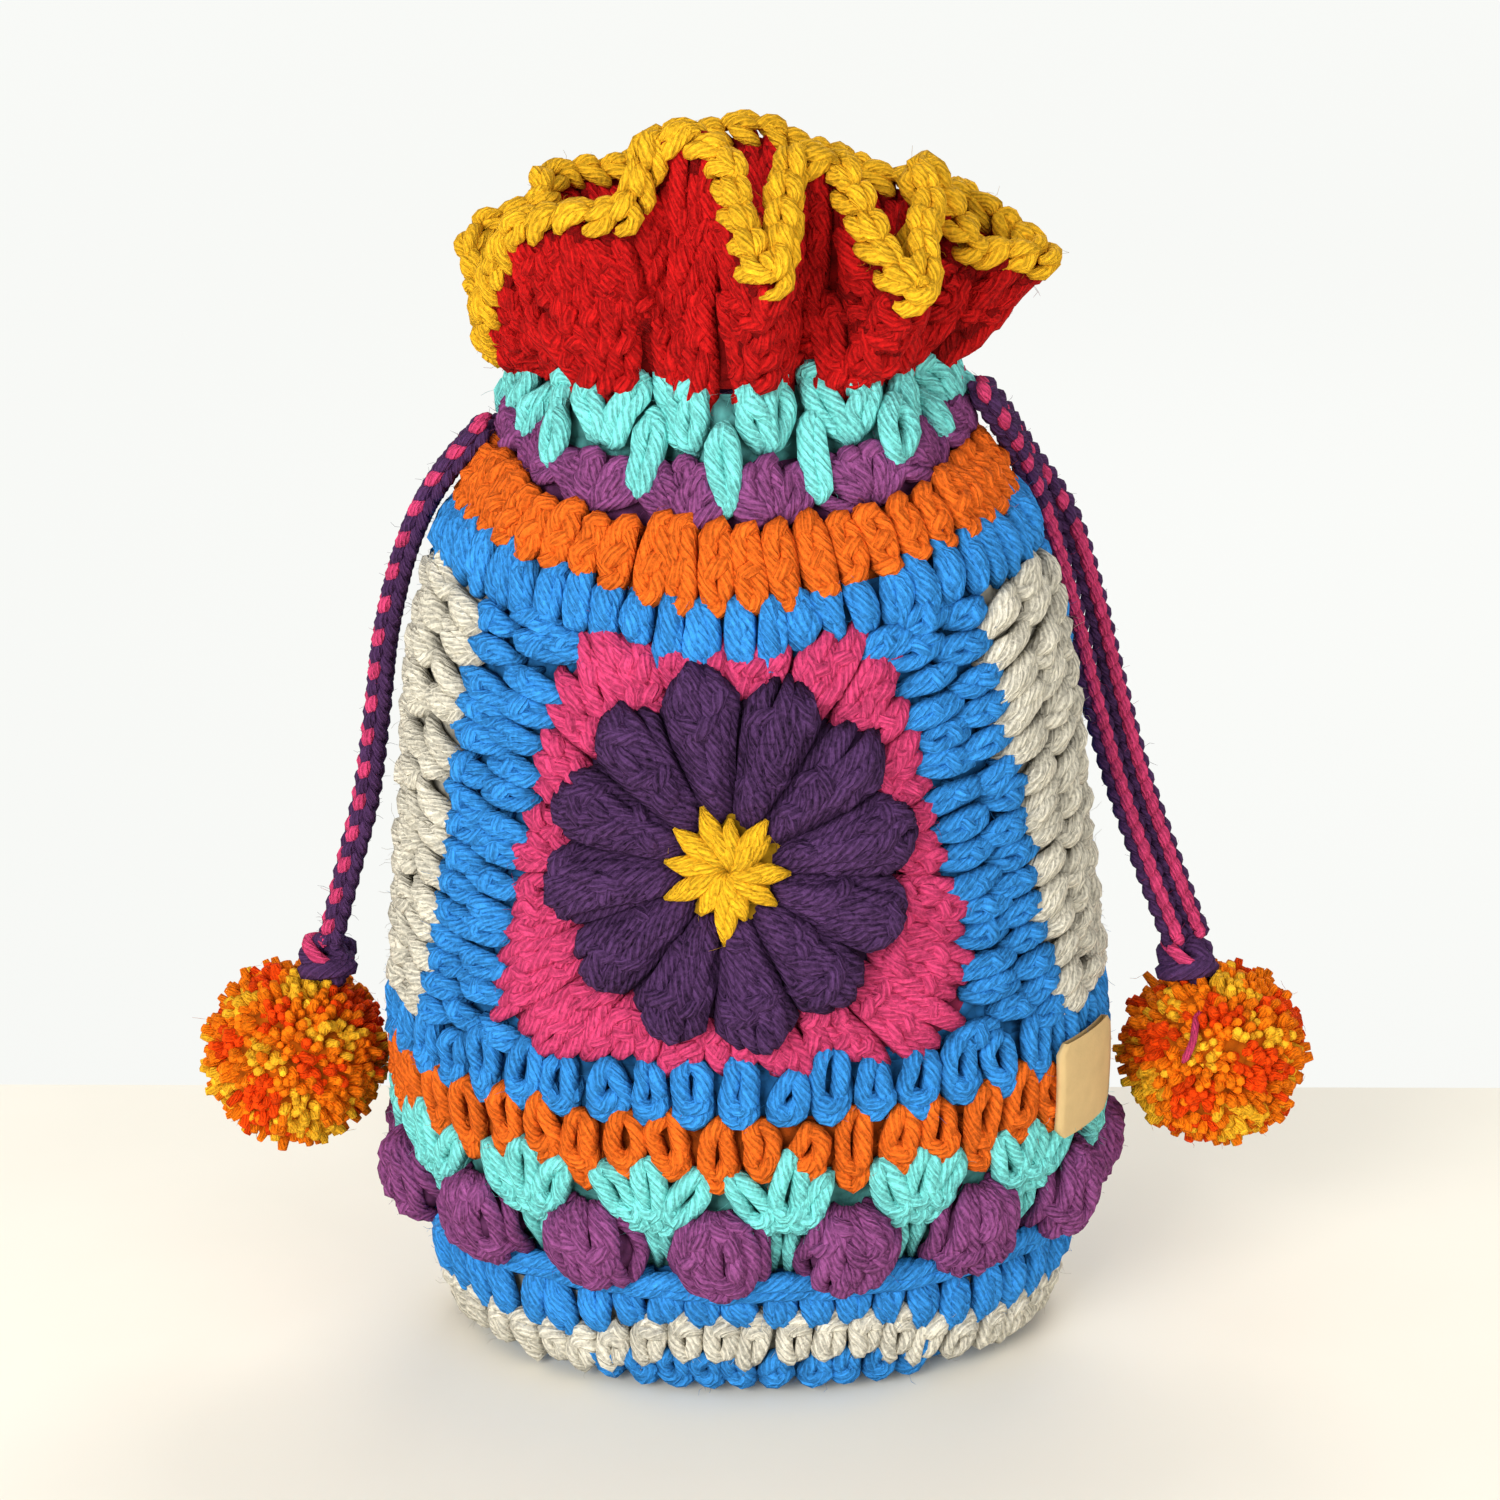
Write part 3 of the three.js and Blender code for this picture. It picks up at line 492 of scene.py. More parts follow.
def yarn_material(name, colours, contrast, plies=7, lead=13.0):
    """Soft plied yarn: a loose, uneven twist of plies with fine fibres; painted shade in the ply grooves and
    deep in the cloth.

    Where there are several colours, the tint of each strand picks one."""
    shader = Shader(bpy.data.materials.new(name))
    uv = shader.node("ShaderNodeUVMap", uv_map="yarn").outputs[0]
    place = shader.node("ShaderNodeSeparateXYZ", {0: uv}).outputs
    spot = shader.spot()
    shade = shader.attribute("shade")
    winding = shader.math("MULTIPLY_ADD", place[1], 1 / lead, place[0])
    streak = shader.node("ShaderNodeCombineXYZ", {
        0: shader.math("MULTIPLY", winding, 12.0), 1: shader.math("MULTIPLY", place[1], 0.3),
        2: shader.math("MULTIPLY", shade, 60.0),
    }).outputs[0]

    def full_noise(vector, scale, detail):
        made = shader.noise(vector, scale, detail)
        return shader.node("ShaderNodeMapRange", {0: made, 1: 0.3, 2: 0.7}).outputs[0]

    fibres = full_noise(streak, 3.0, 4.0)
    wander = shader.math("MULTIPLY", full_noise(streak, 0.3, 2.0), 2.0)
    wander = shader.math("MULTIPLY_ADD", full_noise(streak, 0.9, 2.0), 1.6, wander)
    phase = shader.math("MULTIPLY_ADD", winding, plies * math.pi, wander)
    ply = shader.math("POWER", shader.math("SINE", phase), 2.0)
    wool = full_noise(spot, 1500.0, 3.0)
    patch = full_noise(spot, 130.0, 2.0)
    if len(colours) == 1:
        base = opaque(colours[0])
    else:
        stops = [(k / len(colours), colour) for k, colour in enumerate(colours)]
        base = shader.steps(shader.attribute("tint"), stops)
    # Painted shade: the grooves between plies are darker in the colour, besides their bump
    light = shader.math("MULTIPLY", ply, 0.42)
    for field, weight in ((fibres, 0.3), (wool, 0.34), (shade, 0.16), (patch, 0.16)):
        light = shader.math("MULTIPLY_ADD", field, weight, light)
    # contrast stretches the painted ply shade and highlights together with the random tone of fibres, wool
    # and patches
    light = shader.math("MULTIPLY_ADD", shader.math("SUBTRACT", light, 0.69), contrast, 0.88)
    # Painted shade: the colour darkens to 0.4 of its brightness where the crown is low, deep in the cloth
    # between stitches
    depth = shader.math("MULTIPLY_ADD", shader.attribute("crown"), 0.6, 0.4)
    light = shader.math("MULTIPLY", light, depth)
    tone = shader.node("ShaderNodeCombineColor", {0: light, 1: light, 2: light}).outputs[0]
    colour = shader.mix(1.0, base, tone, "MULTIPLY")
    height = shader.math("MULTIPLY_ADD", fibres, 0.4, shader.math("MULTIPLY_ADD", wool, 0.7, ply))
    return shader.finish(colour, height, 0.8, 0.0004, sheen=0.15, sheen_tint=base)


def shade_cloth_material(name, colour):
    """The cloth behind the stitches, and the plain inside of the pouch, in the yarn's colour darkened as
    painted shade.
    """
    shader = Shader(bpy.data.materials.new(name))
    spot = shader.spot()
    loops = shader.node("ShaderNodeTexVoronoi", {"Vector": spot, "Scale": 330.0}).outputs["Distance"]
    grain = shader.noise(spot, 900.0, 3.0)
    # Painted shade: the yarn's colour at 0.55 of its brightness, falling to 0.2 between the loops
    tone = shader.mix(shader.math("MULTIPLY", loops, 1.2), opaque(colour, 0.55), opaque(colour, 0.2))
    height = shader.math("MULTIPLY_ADD", grain, 0.3, shader.math("SUBTRACT", 1.0, loops))
    return shader.finish(tone, height, 0.8, 0.0012)


def leather_material():
    shader = Shader(bpy.data.materials.new("label_leather"))
    spot = shader.spot()
    grain = shader.noise(spot, 1400.0, 4.0)
    stain = shader.noise(spot, 260.0, 3.0)
    tone = shader.mix(stain, opaque(TAN, 0.85), opaque(TAN, 1.12))
    return shader.finish(tone, grain, 0.25, 0.0004, roughness=0.65, sheen=0.05)


MATERIALS = {"leather": [leather_material()]}
# Each colour has its yarn, and a cloth painted dark as the shade behind its stitches
for colour, shades in COLOURS.items():
    MATERIALS[colour] = [
        yarn_material(f"{colour}_yarn", shades, CONTRASTS.get(colour, 1.0)),
        shade_cloth_material(f"{colour}_cloth", shades[(len(shades) - 1) // 2]),
    ]


# Stitches, as strands of (across, from foot to head, height above the skin)
LEGS = [
    [(0.05, 0.02, -0.6), (-0.14, 0.14, 0.6), (-0.24, 0.42, 1.4), (-0.21, 0.74, 1.8), (-0.06, 0.97, 1.4),
     (0.2, 0.95, -0.6)],
    [(-0.05, 0.02, -0.6), (0.14, 0.14, 0.5), (0.24, 0.42, 1.4), (0.22, 0.74, 1.7), (0.1, 0.94, 0.9),
     (-0.14, 0.88, -0.8)],
]
FOOT_CURL = [(-0.38, 0.22, -1.0), (-0.12, 0.08, 1.0), (0.16, 0.14, 1.2), (0.38, 0.36, -0.8)]
HEAD_WRAP = [(-0.46, 0.66, -1.0), (-0.2, 0.88, 1.7), (0.12, 0.99, 1.8), (0.44, 0.86, -0.8)]
LOW_BASKET = [(-0.4, 0.44, -0.8), (-0.24, 0.2, 1.0), (0.02, 0.08, 1.5), (0.24, 0.2, 1.1), (0.4, 0.46, -0.8)]
HIGH_BASKET = [
    (-0.36, 0.6, -0.6), (-0.16, 0.36, 1.6), (0.06, 0.27, 2.1), (0.26, 0.4, 1.5), (0.38, 0.64, -0.6),
]
EGG = [*LEGS, LOW_BASKET, HIGH_BASKET]
LEAF_EDGES = [
    [(0.06, 0.0, -0.8), (-0.12, 0.14, 0.9), (-0.22, 0.45, 1.6), (-0.2, 0.75, 1.6), (0.0, 0.98, 0.6),
     (0.12, 1.0, -0.9)],
    [(-0.06, 0.0, -0.8), (0.12, 0.14, 0.8), (0.22, 0.45, 1.6), (0.2, 0.75, 1.5), (0.02, 0.96, 0.2),
     (-0.1, 0.95, -1.0)],
]
LEAF_RIB = [(0.0, 0.08, 0.0), (0.04, 0.35, 2.1), (-0.03, 0.7, 2.2), (0.0, 0.97, 0.2)]
LEAF = [*LEAF_EDGES, LEAF_RIB]


def wrap(low):
    """A strand that crosses a stitch and rises to the right."""
    return [(-0.44, low, -0.8), (-0.14, low + 0.12, 2.0), (0.16, low + 0.21, 2.1), (0.44, low + 0.3, -0.6)]


POST = [*LEGS, FOOT_CURL, wrap(0.34), HEAD_WRAP]
SHORT_POST = [*LEGS, HEAD_WRAP]
TALL_POST = [*LEGS, wrap(0.1), wrap(0.36), wrap(0.6)]
CROSSED_LEAF = [*LEAF_EDGES, wrap(0.3)]
CROSSED_POST = [*LEAF_EDGES, wrap(0.16), wrap(0.5)]
RIDGE = [
    [(-1.0, 0.1, 0.0), (-0.5, 0.2, 1.5), (0.1, 0.3, 2.0), (0.6, 0.35, 1.5), (1.0, 0.3, 0.0)],
    [(-0.7, 0.6, 0.2), (-0.2, 0.65, 2.2), (0.3, 0.75, 2.4), (0.8, 0.8, 1.7), (1.3, 0.7, 0.2)],
]


def crochet(surface, strands, origin, across, along, radius=YARN, lift=SINK, relief=1.0, loose=0.05, **look):
    """One stitch at each origin: its strands spread along across, and run along along from its foot."""
    origin, across, along = np.broadcast_arrays(origin, across, along)
    stitches = len(origin)
    lean = rng.normal(0, loose, (stitches, 1))
    along = along * (1 + rng.normal(0, loose, (stitches, 1))) + across * lean * 2
    side = np.sign(relief)
    parts = []
    for strand in strands:
        jitter = rng.normal(0, 1, (stitches, len(strand), 3)) * (loose, loose / 2, 4 * loose)
        u, v, h = np.moveaxis(smooth(np.asarray(strand) + jitter, 2 * len(strand) - 1), -1, 0)
        place = origin[:, None] + u[..., None] * across[:, None] + v[..., None] * along[:, None]
        base, normal = frame_on(surface, place[..., 0], place[..., 1])
        height = h * relief + lift
        thick = radius * (1 + rng.normal(0, 0.06, stitches))
        parts.append(yarn(base + normal * height[..., None], thick, side * normal, side * height, **look))
    return merged(parts)


def around(count, shift=0.5):
    return (np.arange(count) + shift) * PERIMETER / count


def from_front(x):
    """How far x is round the pouch from the middle of its front."""
    return np.abs((x + PERIMETER / 2) % PERIMETER - PERIMETER / 2)


def band(low, high):
    """The cloth behind a round, from low to high, with the pouch's inside."""
    x = around(128, 0)
    levels = np.linspace(low, high, 5)
    outer = [lay(skin, x, z, CLOTH) for z in levels]
    inner = [lay(skin, x, z, INSIDE) for z in levels[::-1]]
    return shell(np.array(outer + inner))


def add_round(name, stitches, colour, node, low, high):
    """A round of stitches, with its cloth from low to high."""
    add_piece(name, [*stitches, band(low, high)], colour, node)


def row(foot, head, count=STITCHES, strands=EGG, shift=0.5, lean=0.0, **options):
    """A round of upright stitches from the height of their feet to that of their heads."""
    x = around(count, shift)
    slant = lean * np.sin(2 * np.pi * x / PERIMETER) * np.abs(head - foot)
    along = joined(slant, head - foot)
    return crochet(skin, strands, joined(x, foot), (PERIMETER / count, 0), along, **options)


def make_base_rounds():
    x = around(STITCHES)
    drop = 6.0 * smoothstep(np.abs((x / PERIMETER - 0.02 + 0.5) % 1 - 0.5), 0.05, 0.12)
    origin = joined(x, BASE_BLUE - 0.4 - drop)
    cream = crochet(skin, EGG, origin, (PITCH, 0), (-1.5, CREAM + 1.2 - BASE_BLUE))
    add_round("cream_round", [cream], "cream", "base_cream_round", CREAM, BASE_BLUE)

    origin = joined(around(STITCHES, 0), BASE_BLUE - 3.2 - drop)
    blue = [
        crochet(skin, LEAF, origin, (PITCH, 0), joined(0, 8.4 + 0.8 * drop), lift=-1.7),
        row(BOBBLE - 4.6, BOBBLE + 0.6, strands=RIDGE, lift=-0.9),
    ]
    add_round("base_ridge", blue, "blue", "base_blue_round", BASE_BLUE, BOBBLE)


def make_wall_rounds():
    count = 3 * GROUPS
    pitch = PERIMETER / count
    foot = LOWER_ORANGE - 1.4 - 2.6 * (np.arange(count) % 3 == 0)
    origin = joined(around(count, 0) + GROUP_SHIFT, foot)
    orange = crochet(skin, EGG, origin, (pitch, 0), joined(0, LOWER_BLUE + 0.8 - foot), loose=0.06)
    add_round("lower_orange", [orange], "orange", "lower_orange_round", LOWER_ORANGE, LOWER_BLUE)
    blue = row(LOWER_BLUE - 1.2, SQUARE + 2.0, count, shift=0.5 + GROUP_SHIFT / pitch, loose=0.06)
    add_round("lower_blue", [blue], "blue", "lower_blue_round", LOWER_BLUE, SQUARE)

    count = 54
    shift = 0.3
    off_middle = from_front(around(count, shift))
    foot = UPPER_BLUE - 5.2 + 4.8 * smoothstep(off_middle, 9, 17)
    head = UPPER_ORANGE - 0.6 + 3.0 * smoothstep(off_middle, 10, 30)
    blue = row(foot, head, count, LEAF, shift, lift=-1.7, loose=0.07)
    add_round("upper_blue", [blue], "blue", "upper_blue_round", UPPER_BLUE, UPPER_ORANGE)

    shift = 0.75
    rise = smoothstep(from_front(around(STITCHES, shift)), 10, 30)
    foot = UPPER_ORANGE - 3.2 + 3.8 * rise
    orange = row(foot, UPPER_PURPLE + 0.8 - rise, STITCHES, POST, shift, lean=-0.3, lift=-1.4)
    add_round("upper_orange", [orange], "orange", "upper_orange_round", UPPER_ORANGE, UPPER_PURPLE)


def make_base():
    rings = [(0.03, 0.19, 40), (0.2, 0.36, 34), (0.37, 0.53, 26), (0.54, 0.7, 18), (0.71, 0.86, 12)]
    rows = []
    for low, high, count in rings:
        rows.append(crochet(underside, LEGS, joined(around(count), low),
                            (PERIMETER / count, 0), (0, high - low), radius=1.5, lift=0, relief=-1))
    x = np.arange(-4, 6) * PITCH
    edge = crochet(skin, EGG, joined(x, 1.8), (PITCH, 0), (0, CREAM - 0.6), lift=-2.6)
    x = around(96)
    dish = [underside(x, inset) + (0, 0, 0.2) for inset in (0.97, 0.6, 0.3, 0.06)]
    wall = [lay(skin, x, z, h) for z, h in ((3.4, CLOTH), (CREAM, CLOTH), (CREAM, INSIDE), (6, -4))]
    floor = [underside(x, inset) + (0, 0, 2.0) for inset in (0.15, 0.5, 0.97)]
    cloth = shell(np.array(dish + wall + floor))
    add_piece("base", [*rows, edge, cloth], "blue", "base_disc")


def puffed(lines_on, long_count, short_count, reach, radius, levels):
    """Yarn over a puff: long strands along it, and short ones laid askew over them.

    lines_on(u, s, lift) gives points, normals and heights where u runs from -1 to 1 across the puff
    and s from 0 to 1 along it."""
    s = np.linspace(0, 1, 14)
    u = np.linspace(-0.95, 0.95, long_count)[:, None]
    u = u + 0.08 * np.sin(s * 7 + rng.uniform(0, 6, (long_count, 1)))
    points, normals, heights = lines_on(u, s + 0 * u, rng.normal(0, 0.2, (long_count, 1)))
    parts = [yarn(points, radius, normals, heights, levels)]
    t = np.linspace(-1, 1, 6)
    middle_u = rng.uniform(-0.72, 0.72, (short_count, 1))
    middle_s = rng.uniform(0.2, 0.92, (short_count, 1))
    angle = rng.uniform(-1.3, 1.3, (short_count, 1))
    u = middle_u + reach[0] * np.sin(angle) * t
    s = np.clip(middle_s + reach[1] * np.cos(angle) * t, 0, 1)
    points, normals, heights = lines_on(u, s, 0.9 - 1.3 * t**2)
    parts.append(yarn(points, radius, normals, heights, levels))
    return merged(parts)


def make_bobble(middle):
    """The yarn of a bobble, and its core."""

    def ball(u, s, lift):
        spread = np.interp(s, (0, 0.1, 0.25, 0.48, 0.75, 0.92, 1), (0.3, 0.68, 0.92, 1, 0.86, 0.55, 0.3))
        heights = CLOTH + 8.2 * np.sqrt(1 - np.minimum(u * u, 1) * 0.94) * spread + lift
        base, normals = frame_on(skin, middle + 8.4 * u * spread, BOBBLE - 2.6 + 17.6 * s)
        return base + normals * heights[..., None], normals, heights

    turn = -2 * np.pi * np.arange(16) / 16
    level = (BOBBLE + TURQUOISE) / 2
    rings = [
        lay(skin, middle + size * np.cos(turn), level + 0.9 * size * np.sin(turn), height)
        for size, height in ((7, -2.5), (7, 2.2), (5.4, 4.6), (2.8, 5.8), (0.3, 6.2))
    ]
    return [puffed(ball, 7, 11, (0.42, 0.18), YARN, (-2.0, 3.5)), shell(np.array(rings), closed_rows=False)]


def make_bobble_round():
    bobbles = []
    for middle in around(GROUPS, 0) + GROUP_SHIFT:
        bobbles += make_bobble(middle)
    add_piece("bobbles", bobbles, "purple", "bobble_round")

    middles = around(GROUPS) + GROUP_SHIFT
    parts = []
    for step in (-1, 0, 1):
        foot = joined(middles + 1.6 * step, TURQUOISE - 2.0)
        along = np.array([6.2 * step, LOWER_ORANGE + 2.2 - 1.8 * abs(step) - foot[0, 1]])
        parts.append(crochet(skin, EGG, foot, 7.2 * aside(along), along, lift=-1.4))
    half = np.array([(0.42, -0.2, 0.4), (0.24, 0.4, 1.5), (0.3, 1, 0.4)])
    stem = [half * (-1, 1, 1), half]
    along = (0, BOBBLE - 0.5 - TURQUOISE)
    parts.append(crochet(skin, stem, joined(middles, TURQUOISE), (6, 0), along, radius=1.7))
    add_round("turquoise_fans", parts, "turquoise", "lower_turquoise_round", BOBBLE, LOWER_ORANGE)


# Flower squares
def square_edge(half_width, half_height, roundness, narrowing, turn):
    """Points of a square with round corners, clockwise from its top, that narrows towards its top."""
    x, y = np.sin(turn), np.cos(turn)
    power = np.where(y > 0, *roundness)
    size = (np.abs(x) ** power + np.abs(y) ** power) ** (1 / power)
    y = half_height * y / size
    x = half_width * x / size * (1 - narrowing * (y / SQUARE_HALF_HEIGHT + 1) / 2)
    return joined(x, y)


def spaced(line, count):
    """Points spaced evenly along a closed line."""
    lengths = lengths_along(line)
    return taken_at((np.arange(count) + 0.5) / count * lengths[-1], lengths, line)


def circle(radius, turn):
    return radius * joined(np.sin(turn), np.cos(turn))


def square_cloth(surface, edges, heights):
    """Cloth of a square between outlines, with its inside."""
    outer = [lay(surface, *edge.T, height) for edge, height in zip(edges, heights)]
    inner = [lay(surface, *edge.T, INSIDE) for edge in edges[::-1]]
    return shell(np.array([line[::-1] for line in outer + inner]))


def aside(vectors):
    return unit(joined(vectors[..., 1], -vectors[..., 0]))


def make_square(side, middle, half_width, narrowing, pink_narrowing):
    turn = 2 * np.pi * np.arange(96) / 96
    fine_turn = np.linspace(0, 2 * np.pi, 721)

    def surface(x, y):
        return skin(middle + x, SQUARE_MIDDLE + y)

    edge = square_edge(PINK_HALF[0] + 1.2, PINK_HALF[1] + 1.2, PINK_ROUNDNESS, pink_narrowing, fine_turn)
    outer = spaced(edge, 60)
    outer[:, 1] += 2.4 * smoothstep(outer[:, 1], 20, 34)
    inner = (PETAL_RADIUS - 5) * unit(outer)
    clusters = inner.reshape(-1, 3, 2)
    inner = (clusters * 0.5 + clusters.mean(axis=1, keepdims=True) * 0.5).reshape(-1, 2)
    along = outer - inner
    posts = crochet(surface, CROSSED_POST, inner, 5.0 * aside(along), along, radius=1.6, loose=0.06)
    pink_edge = square_edge(*PINK_HALF, PINK_ROUNDNESS, pink_narrowing, turn)
    cloth = square_cloth(surface, [circle(PETAL_RADIUS - 4, turn), pink_edge], (CLOTH, CLOTH))
    add_piece(f"{side}_pink", [posts, cloth], "pink", f"{side}_square_pink_round")

    count = 15
    pitch = 2 * SQUARE_HALF_HEIGHT / count
    y = (np.arange(count) + 0.5) * pitch - SQUARE_HALF_HEIGHT
    climb = (y / SQUARE_HALF_HEIGHT + 1) / 2
    power = np.where(y > 0, *PINK_ROUNDNESS)
    pink = PINK_HALF[0] * (1 - np.minimum(np.abs(y) / PINK_HALF[1], 1) ** power) ** (1 / power)
    pink = np.maximum(pink, 0.86 * PINK_HALF[0]) * (1 - pink_narrowing * climb)
    gap = half_width * (1 - narrowing * climb) - pink
    columns = np.round(gap / 9.5)
    rows = []
    for direction in (-1, 1):
        for column in range(int(columns.max())):
            there = columns > column
            foot = pink + gap + 1.4 - column * gap / columns
            origin = joined(direction * foot, y + 0.6 + pitch / 2 * (column % 2))[there]
            along = joined(-direction * (gap / columns + 2), -1.2)[there]
            rows.append(crochet(surface, CROSSED_LEAF, origin, (0, pitch), along, radius=1.5, loose=0.06))
    corner = square_edge(half_width, SQUARE_HALF_HEIGHT, (60, 60), narrowing, turn)
    cloth = square_cloth(surface, [pink_edge, corner], (CLOTH, CLOTH))
    add_piece(f"{side}_blue", [*rows, cloth], "blue", f"{side}_square_blue_rounds")

    make_flower(side, surface, turn)


def make_petal(surface, angle):
    """The yarn of a petal, and its core."""
    radial = np.array([np.sin(angle), np.cos(angle)])
    across = np.array([np.cos(angle), -np.sin(angle)])
    root = CENTRE_RADIUS - 2.5
    reach = PETAL_RADIUS + 0.8 + rng.normal(0, 0.8) - root

    def puff(u, s, lift):
        width = np.interp(s, (0, 0.3, 0.6, 0.85, 1), (1.4, 3.0, 5.0, 6.3, 4.7))
        height = np.interp(s, (0, 0.3, 0.65, 0.88, 1), (2.6, 5.4, 7.2, 6.4, 1.6))
        bend = 1.45 * u
        r = root + reach * s * (1 - 0.07 * bend**2)
        place = r[..., None] * radial + (width * np.sin(bend))[..., None] * across
        heights = -1.6 + height * np.cos(bend) + lift
        base, normals = frame_on(surface, place[..., 0], place[..., 1])
        return base + normals * heights[..., None], normals, heights

    edge = np.linspace(-0.9, 0.9, 9)
    u = np.concatenate([edge, edge[::-1]])
    s = np.linspace(0.1, 0.97, 8)[:, None]
    core = puff(u + 0 * s, s + 0 * u, np.repeat((-0.9, -4.0), 9))[0]
    return [puffed(puff, 8, 10, (0.6, 0.15), YARN, (0.2, 5.0)), shell(core, closed_rows=False)]


def make_flower(side, surface, turn):
    petals = []
    for angle in (np.arange(PETALS) + 0.7) / PETALS * 2 * np.pi:
        petals += make_petal(surface, angle)
    edges = [circle(radius, turn) for radius in (CENTRE_RADIUS - 3, 16, 25, PETAL_RADIUS - 2)]
    cloth = square_cloth(surface, edges, (0.5, 1.6, 1.8, CLOTH))
    add_piece(f"{side}_petals", [*petals, cloth], "aubergine", f"{side}_flower_petals")

    s = np.linspace(0, 1, 7)
    lines = []
    for k in range(PETALS):
        angle = (k + 0.2) / PETALS * 2 * np.pi + rng.normal(0, 0.1)
        tip = CENTRE_RADIUS + rng.uniform(-0.8, 3.8)
        for direction in (-1, 0, 1):
            spread = direction * 0.22 * (1 - s) + 0.1 * (direction == 0)
            r = 0.3 + (tip - 0.3 - 3.4 * (direction == 0)) * s
            place = circle(r[:, None], angle + spread)
            height = 2.4 + 1.5 * np.sin(np.pi * (0.15 + 0.65 * s)) + 0.5 * (direction == 0)
            lines.append(lay(surface, *place.T, height))
    star = yarn(np.array(lines), 1.35, taper=0.3)
    cloth = square_cloth(surface, [circle(0.3, turn), circle(CENTRE_RADIUS, turn)], (3.2, 2.0))
    add_piece(f"{side}_centre", [star, cloth], "yellow", f"{side}_flower_centre")


def make_joins():
    count = 14
    pitch = 2 * SQUARE_HALF_HEIGHT / count
    far = FRONT_HALF_WIDTH + CREAM_JOIN_WIDTH + 1.2
    columns = 3

    def near_edge(z):
        return FRONT_HALF_WIDTH * (1 - FRONT_NARROWING * (z - SQUARE) / (UPPER_BLUE - SQUARE)) - 0.6

    for side, sign in SIDES.items():
        parts = []
        for column in range(columns):
            z = SQUARE + (np.arange(count) + 0.25 + 0.5 * (column % 2)) * pitch
            depth = (far - near_edge(z)) / columns
            origin = joined(sign * (far - column * depth), z + 1.5)
            along = joined(-sign * (depth + 1.5), -2.4)
            parts.append(crochet(skin, LEAF, origin, (0, pitch), along, radius=1.6, loose=0.07))
        rows = []
        for z in np.linspace(SQUARE, UPPER_BLUE, 8):
            edge = np.linspace(near_edge(z), far, 8) * sign
            line = np.concatenate([edge, edge[::-1]])
            height = np.repeat((CLOTH, INSIDE), len(edge))
            rows.append(lay(skin, line, z, height)[::sign])
        cloth = shell(np.array(rows), closed_rows=False)
        add_piece(f"{side}_join", [*parts, cloth], "cream", f"{side}_cream_join")


# Neck: purple fans, and the turquoise round whose long stitches hang between them
def make_neck():
    middles = around(GROUPS)
    fans = []
    for step in (-2, -1, 0, 1, 2):
        foot = joined(middles + step, UPPER_PURPLE + 1.4 - 0.3 * abs(step))
        along = (5.6 * step, 9.4 - 1.9 * abs(step))
        across = aside(np.array([2.6 * step, along[1]])) * (6.6, 4.8)
        fans.append(crochet(skin, SHORT_POST, foot, across, along, radius=1.6, lift=-1.5, loose=0.07))
    add_round("purple_clusters", fans, "purple", "upper_purple_round", UPPER_PURPLE, EYELET + 2)

    tips = joined(around(GROUPS, 0), EYELET - 4.6 + rng.normal(0, 1.0, GROUPS))
    parts = [crochet(skin, LEAF_EDGES, tips, (10, 0), (0, 14), lift=0.3, loose=0.07)]
    for step in (-1, 1):
        foot = joined(middles + 1.6 * step, EYELET + 3.6)
        along = (4.2 * step, NECK + 1.6 - foot[0, 1])
        parts.append(crochet(skin, SHORT_POST, foot, (9.5, 0), along, radius=1.8, lift=-1.1, loose=0.08))
    add_round("eyelets", parts, "turquoise", "eyelet_round", EYELET + 2, NECK)


# Ruffle: two rows of red posts, and the yellow edging along the rim
def make_ruffle():
    parts = []
    for count, group, low, head, thick in ((56, 4, -0.16, 0.58, 1.7), (84, 4, 0.38, 0.95, 1.6)):
        x = around(count)
        middles = np.repeat(x.reshape(-1, group).mean(axis=1), group)
        start = 0.6 * x + 0.4 * middles
        foot = low + np.repeat(rng.uniform(-0.06, 0.06, count // group), group)
        origin = joined(start, foot)
        lean = np.repeat(rng.normal(0, 1.5, count // group), group)
        along = joined(x + lean - start, head - foot)
        across = (1.15 * PERIMETER / count, 0)
        parts.append(crochet(ruffle, TALL_POST, origin, across, along, radius=thick, lift=-0.7, loose=0.1,
                             levels=(-0.9, 1.8)))
        parts.append(crochet(ruffle, LEAF_EDGES, origin, across, along, radius=thick, lift=0.7,
                             relief=-1, loose=0.07))
    x = around(360)
    outer = [lay(ruffle, x, t, 0.2) for t in (0, 0.33, 0.66, 1)]
    inner = [lay(ruffle, x, t, -0.2) for t in (1, 0.66, 0.33, 0)]
    parts.append(shell(np.array(outer + inner)))
    add_piece("ruffle_posts", parts, "red", "ruffle")
    make_edging()


def make_edging():
    rim, normal = frame_on(ruffle, np.linspace(0, PERIMETER, 2001), 1.0)
    onward = unit(np.cross(normal, np.gradient(rim, axis=0)))
    lengths = lengths_along(rim)
    count = round(lengths[-1] / 5)
    stitch = np.array([(-0.2, -1.2, 0.8), (0.05, -0.3, 1.9), (0.4, 1, 1.9), (0.75, 2.1, 1), (1, 2.4, -0.2)])
    top = np.array([(-0.1, 2.0, 1.0), (0.5, 2.9, 1.2), (1.15, 2.3, 0.3)])
    inside = (1, 1, -1)
    parts = []
    for strand in (stitch, stitch * inside, top, top * inside):
        jitter = rng.normal(0, 1, (count, len(strand), 3)) * (0.08, 0.35, 0.35)
        a, o, n = np.moveaxis(smooth(strand + jitter, 7), -1, 0)
        at = (np.arange(count)[:, None] + a) / count % 1 * lengths[-1]
        spots, ups, sides = (taken_at(at, lengths, field) for field in (rim, onward, normal))
        lines = spots + unit(ups) * o[..., None] + unit(sides) * n[..., None]
        parts.append(yarn(lines, 1.5, sides, np.abs(n) + o, (-2.0, 1.0)))
    add_piece("edging", parts, "yellow", "ruffle_edging")


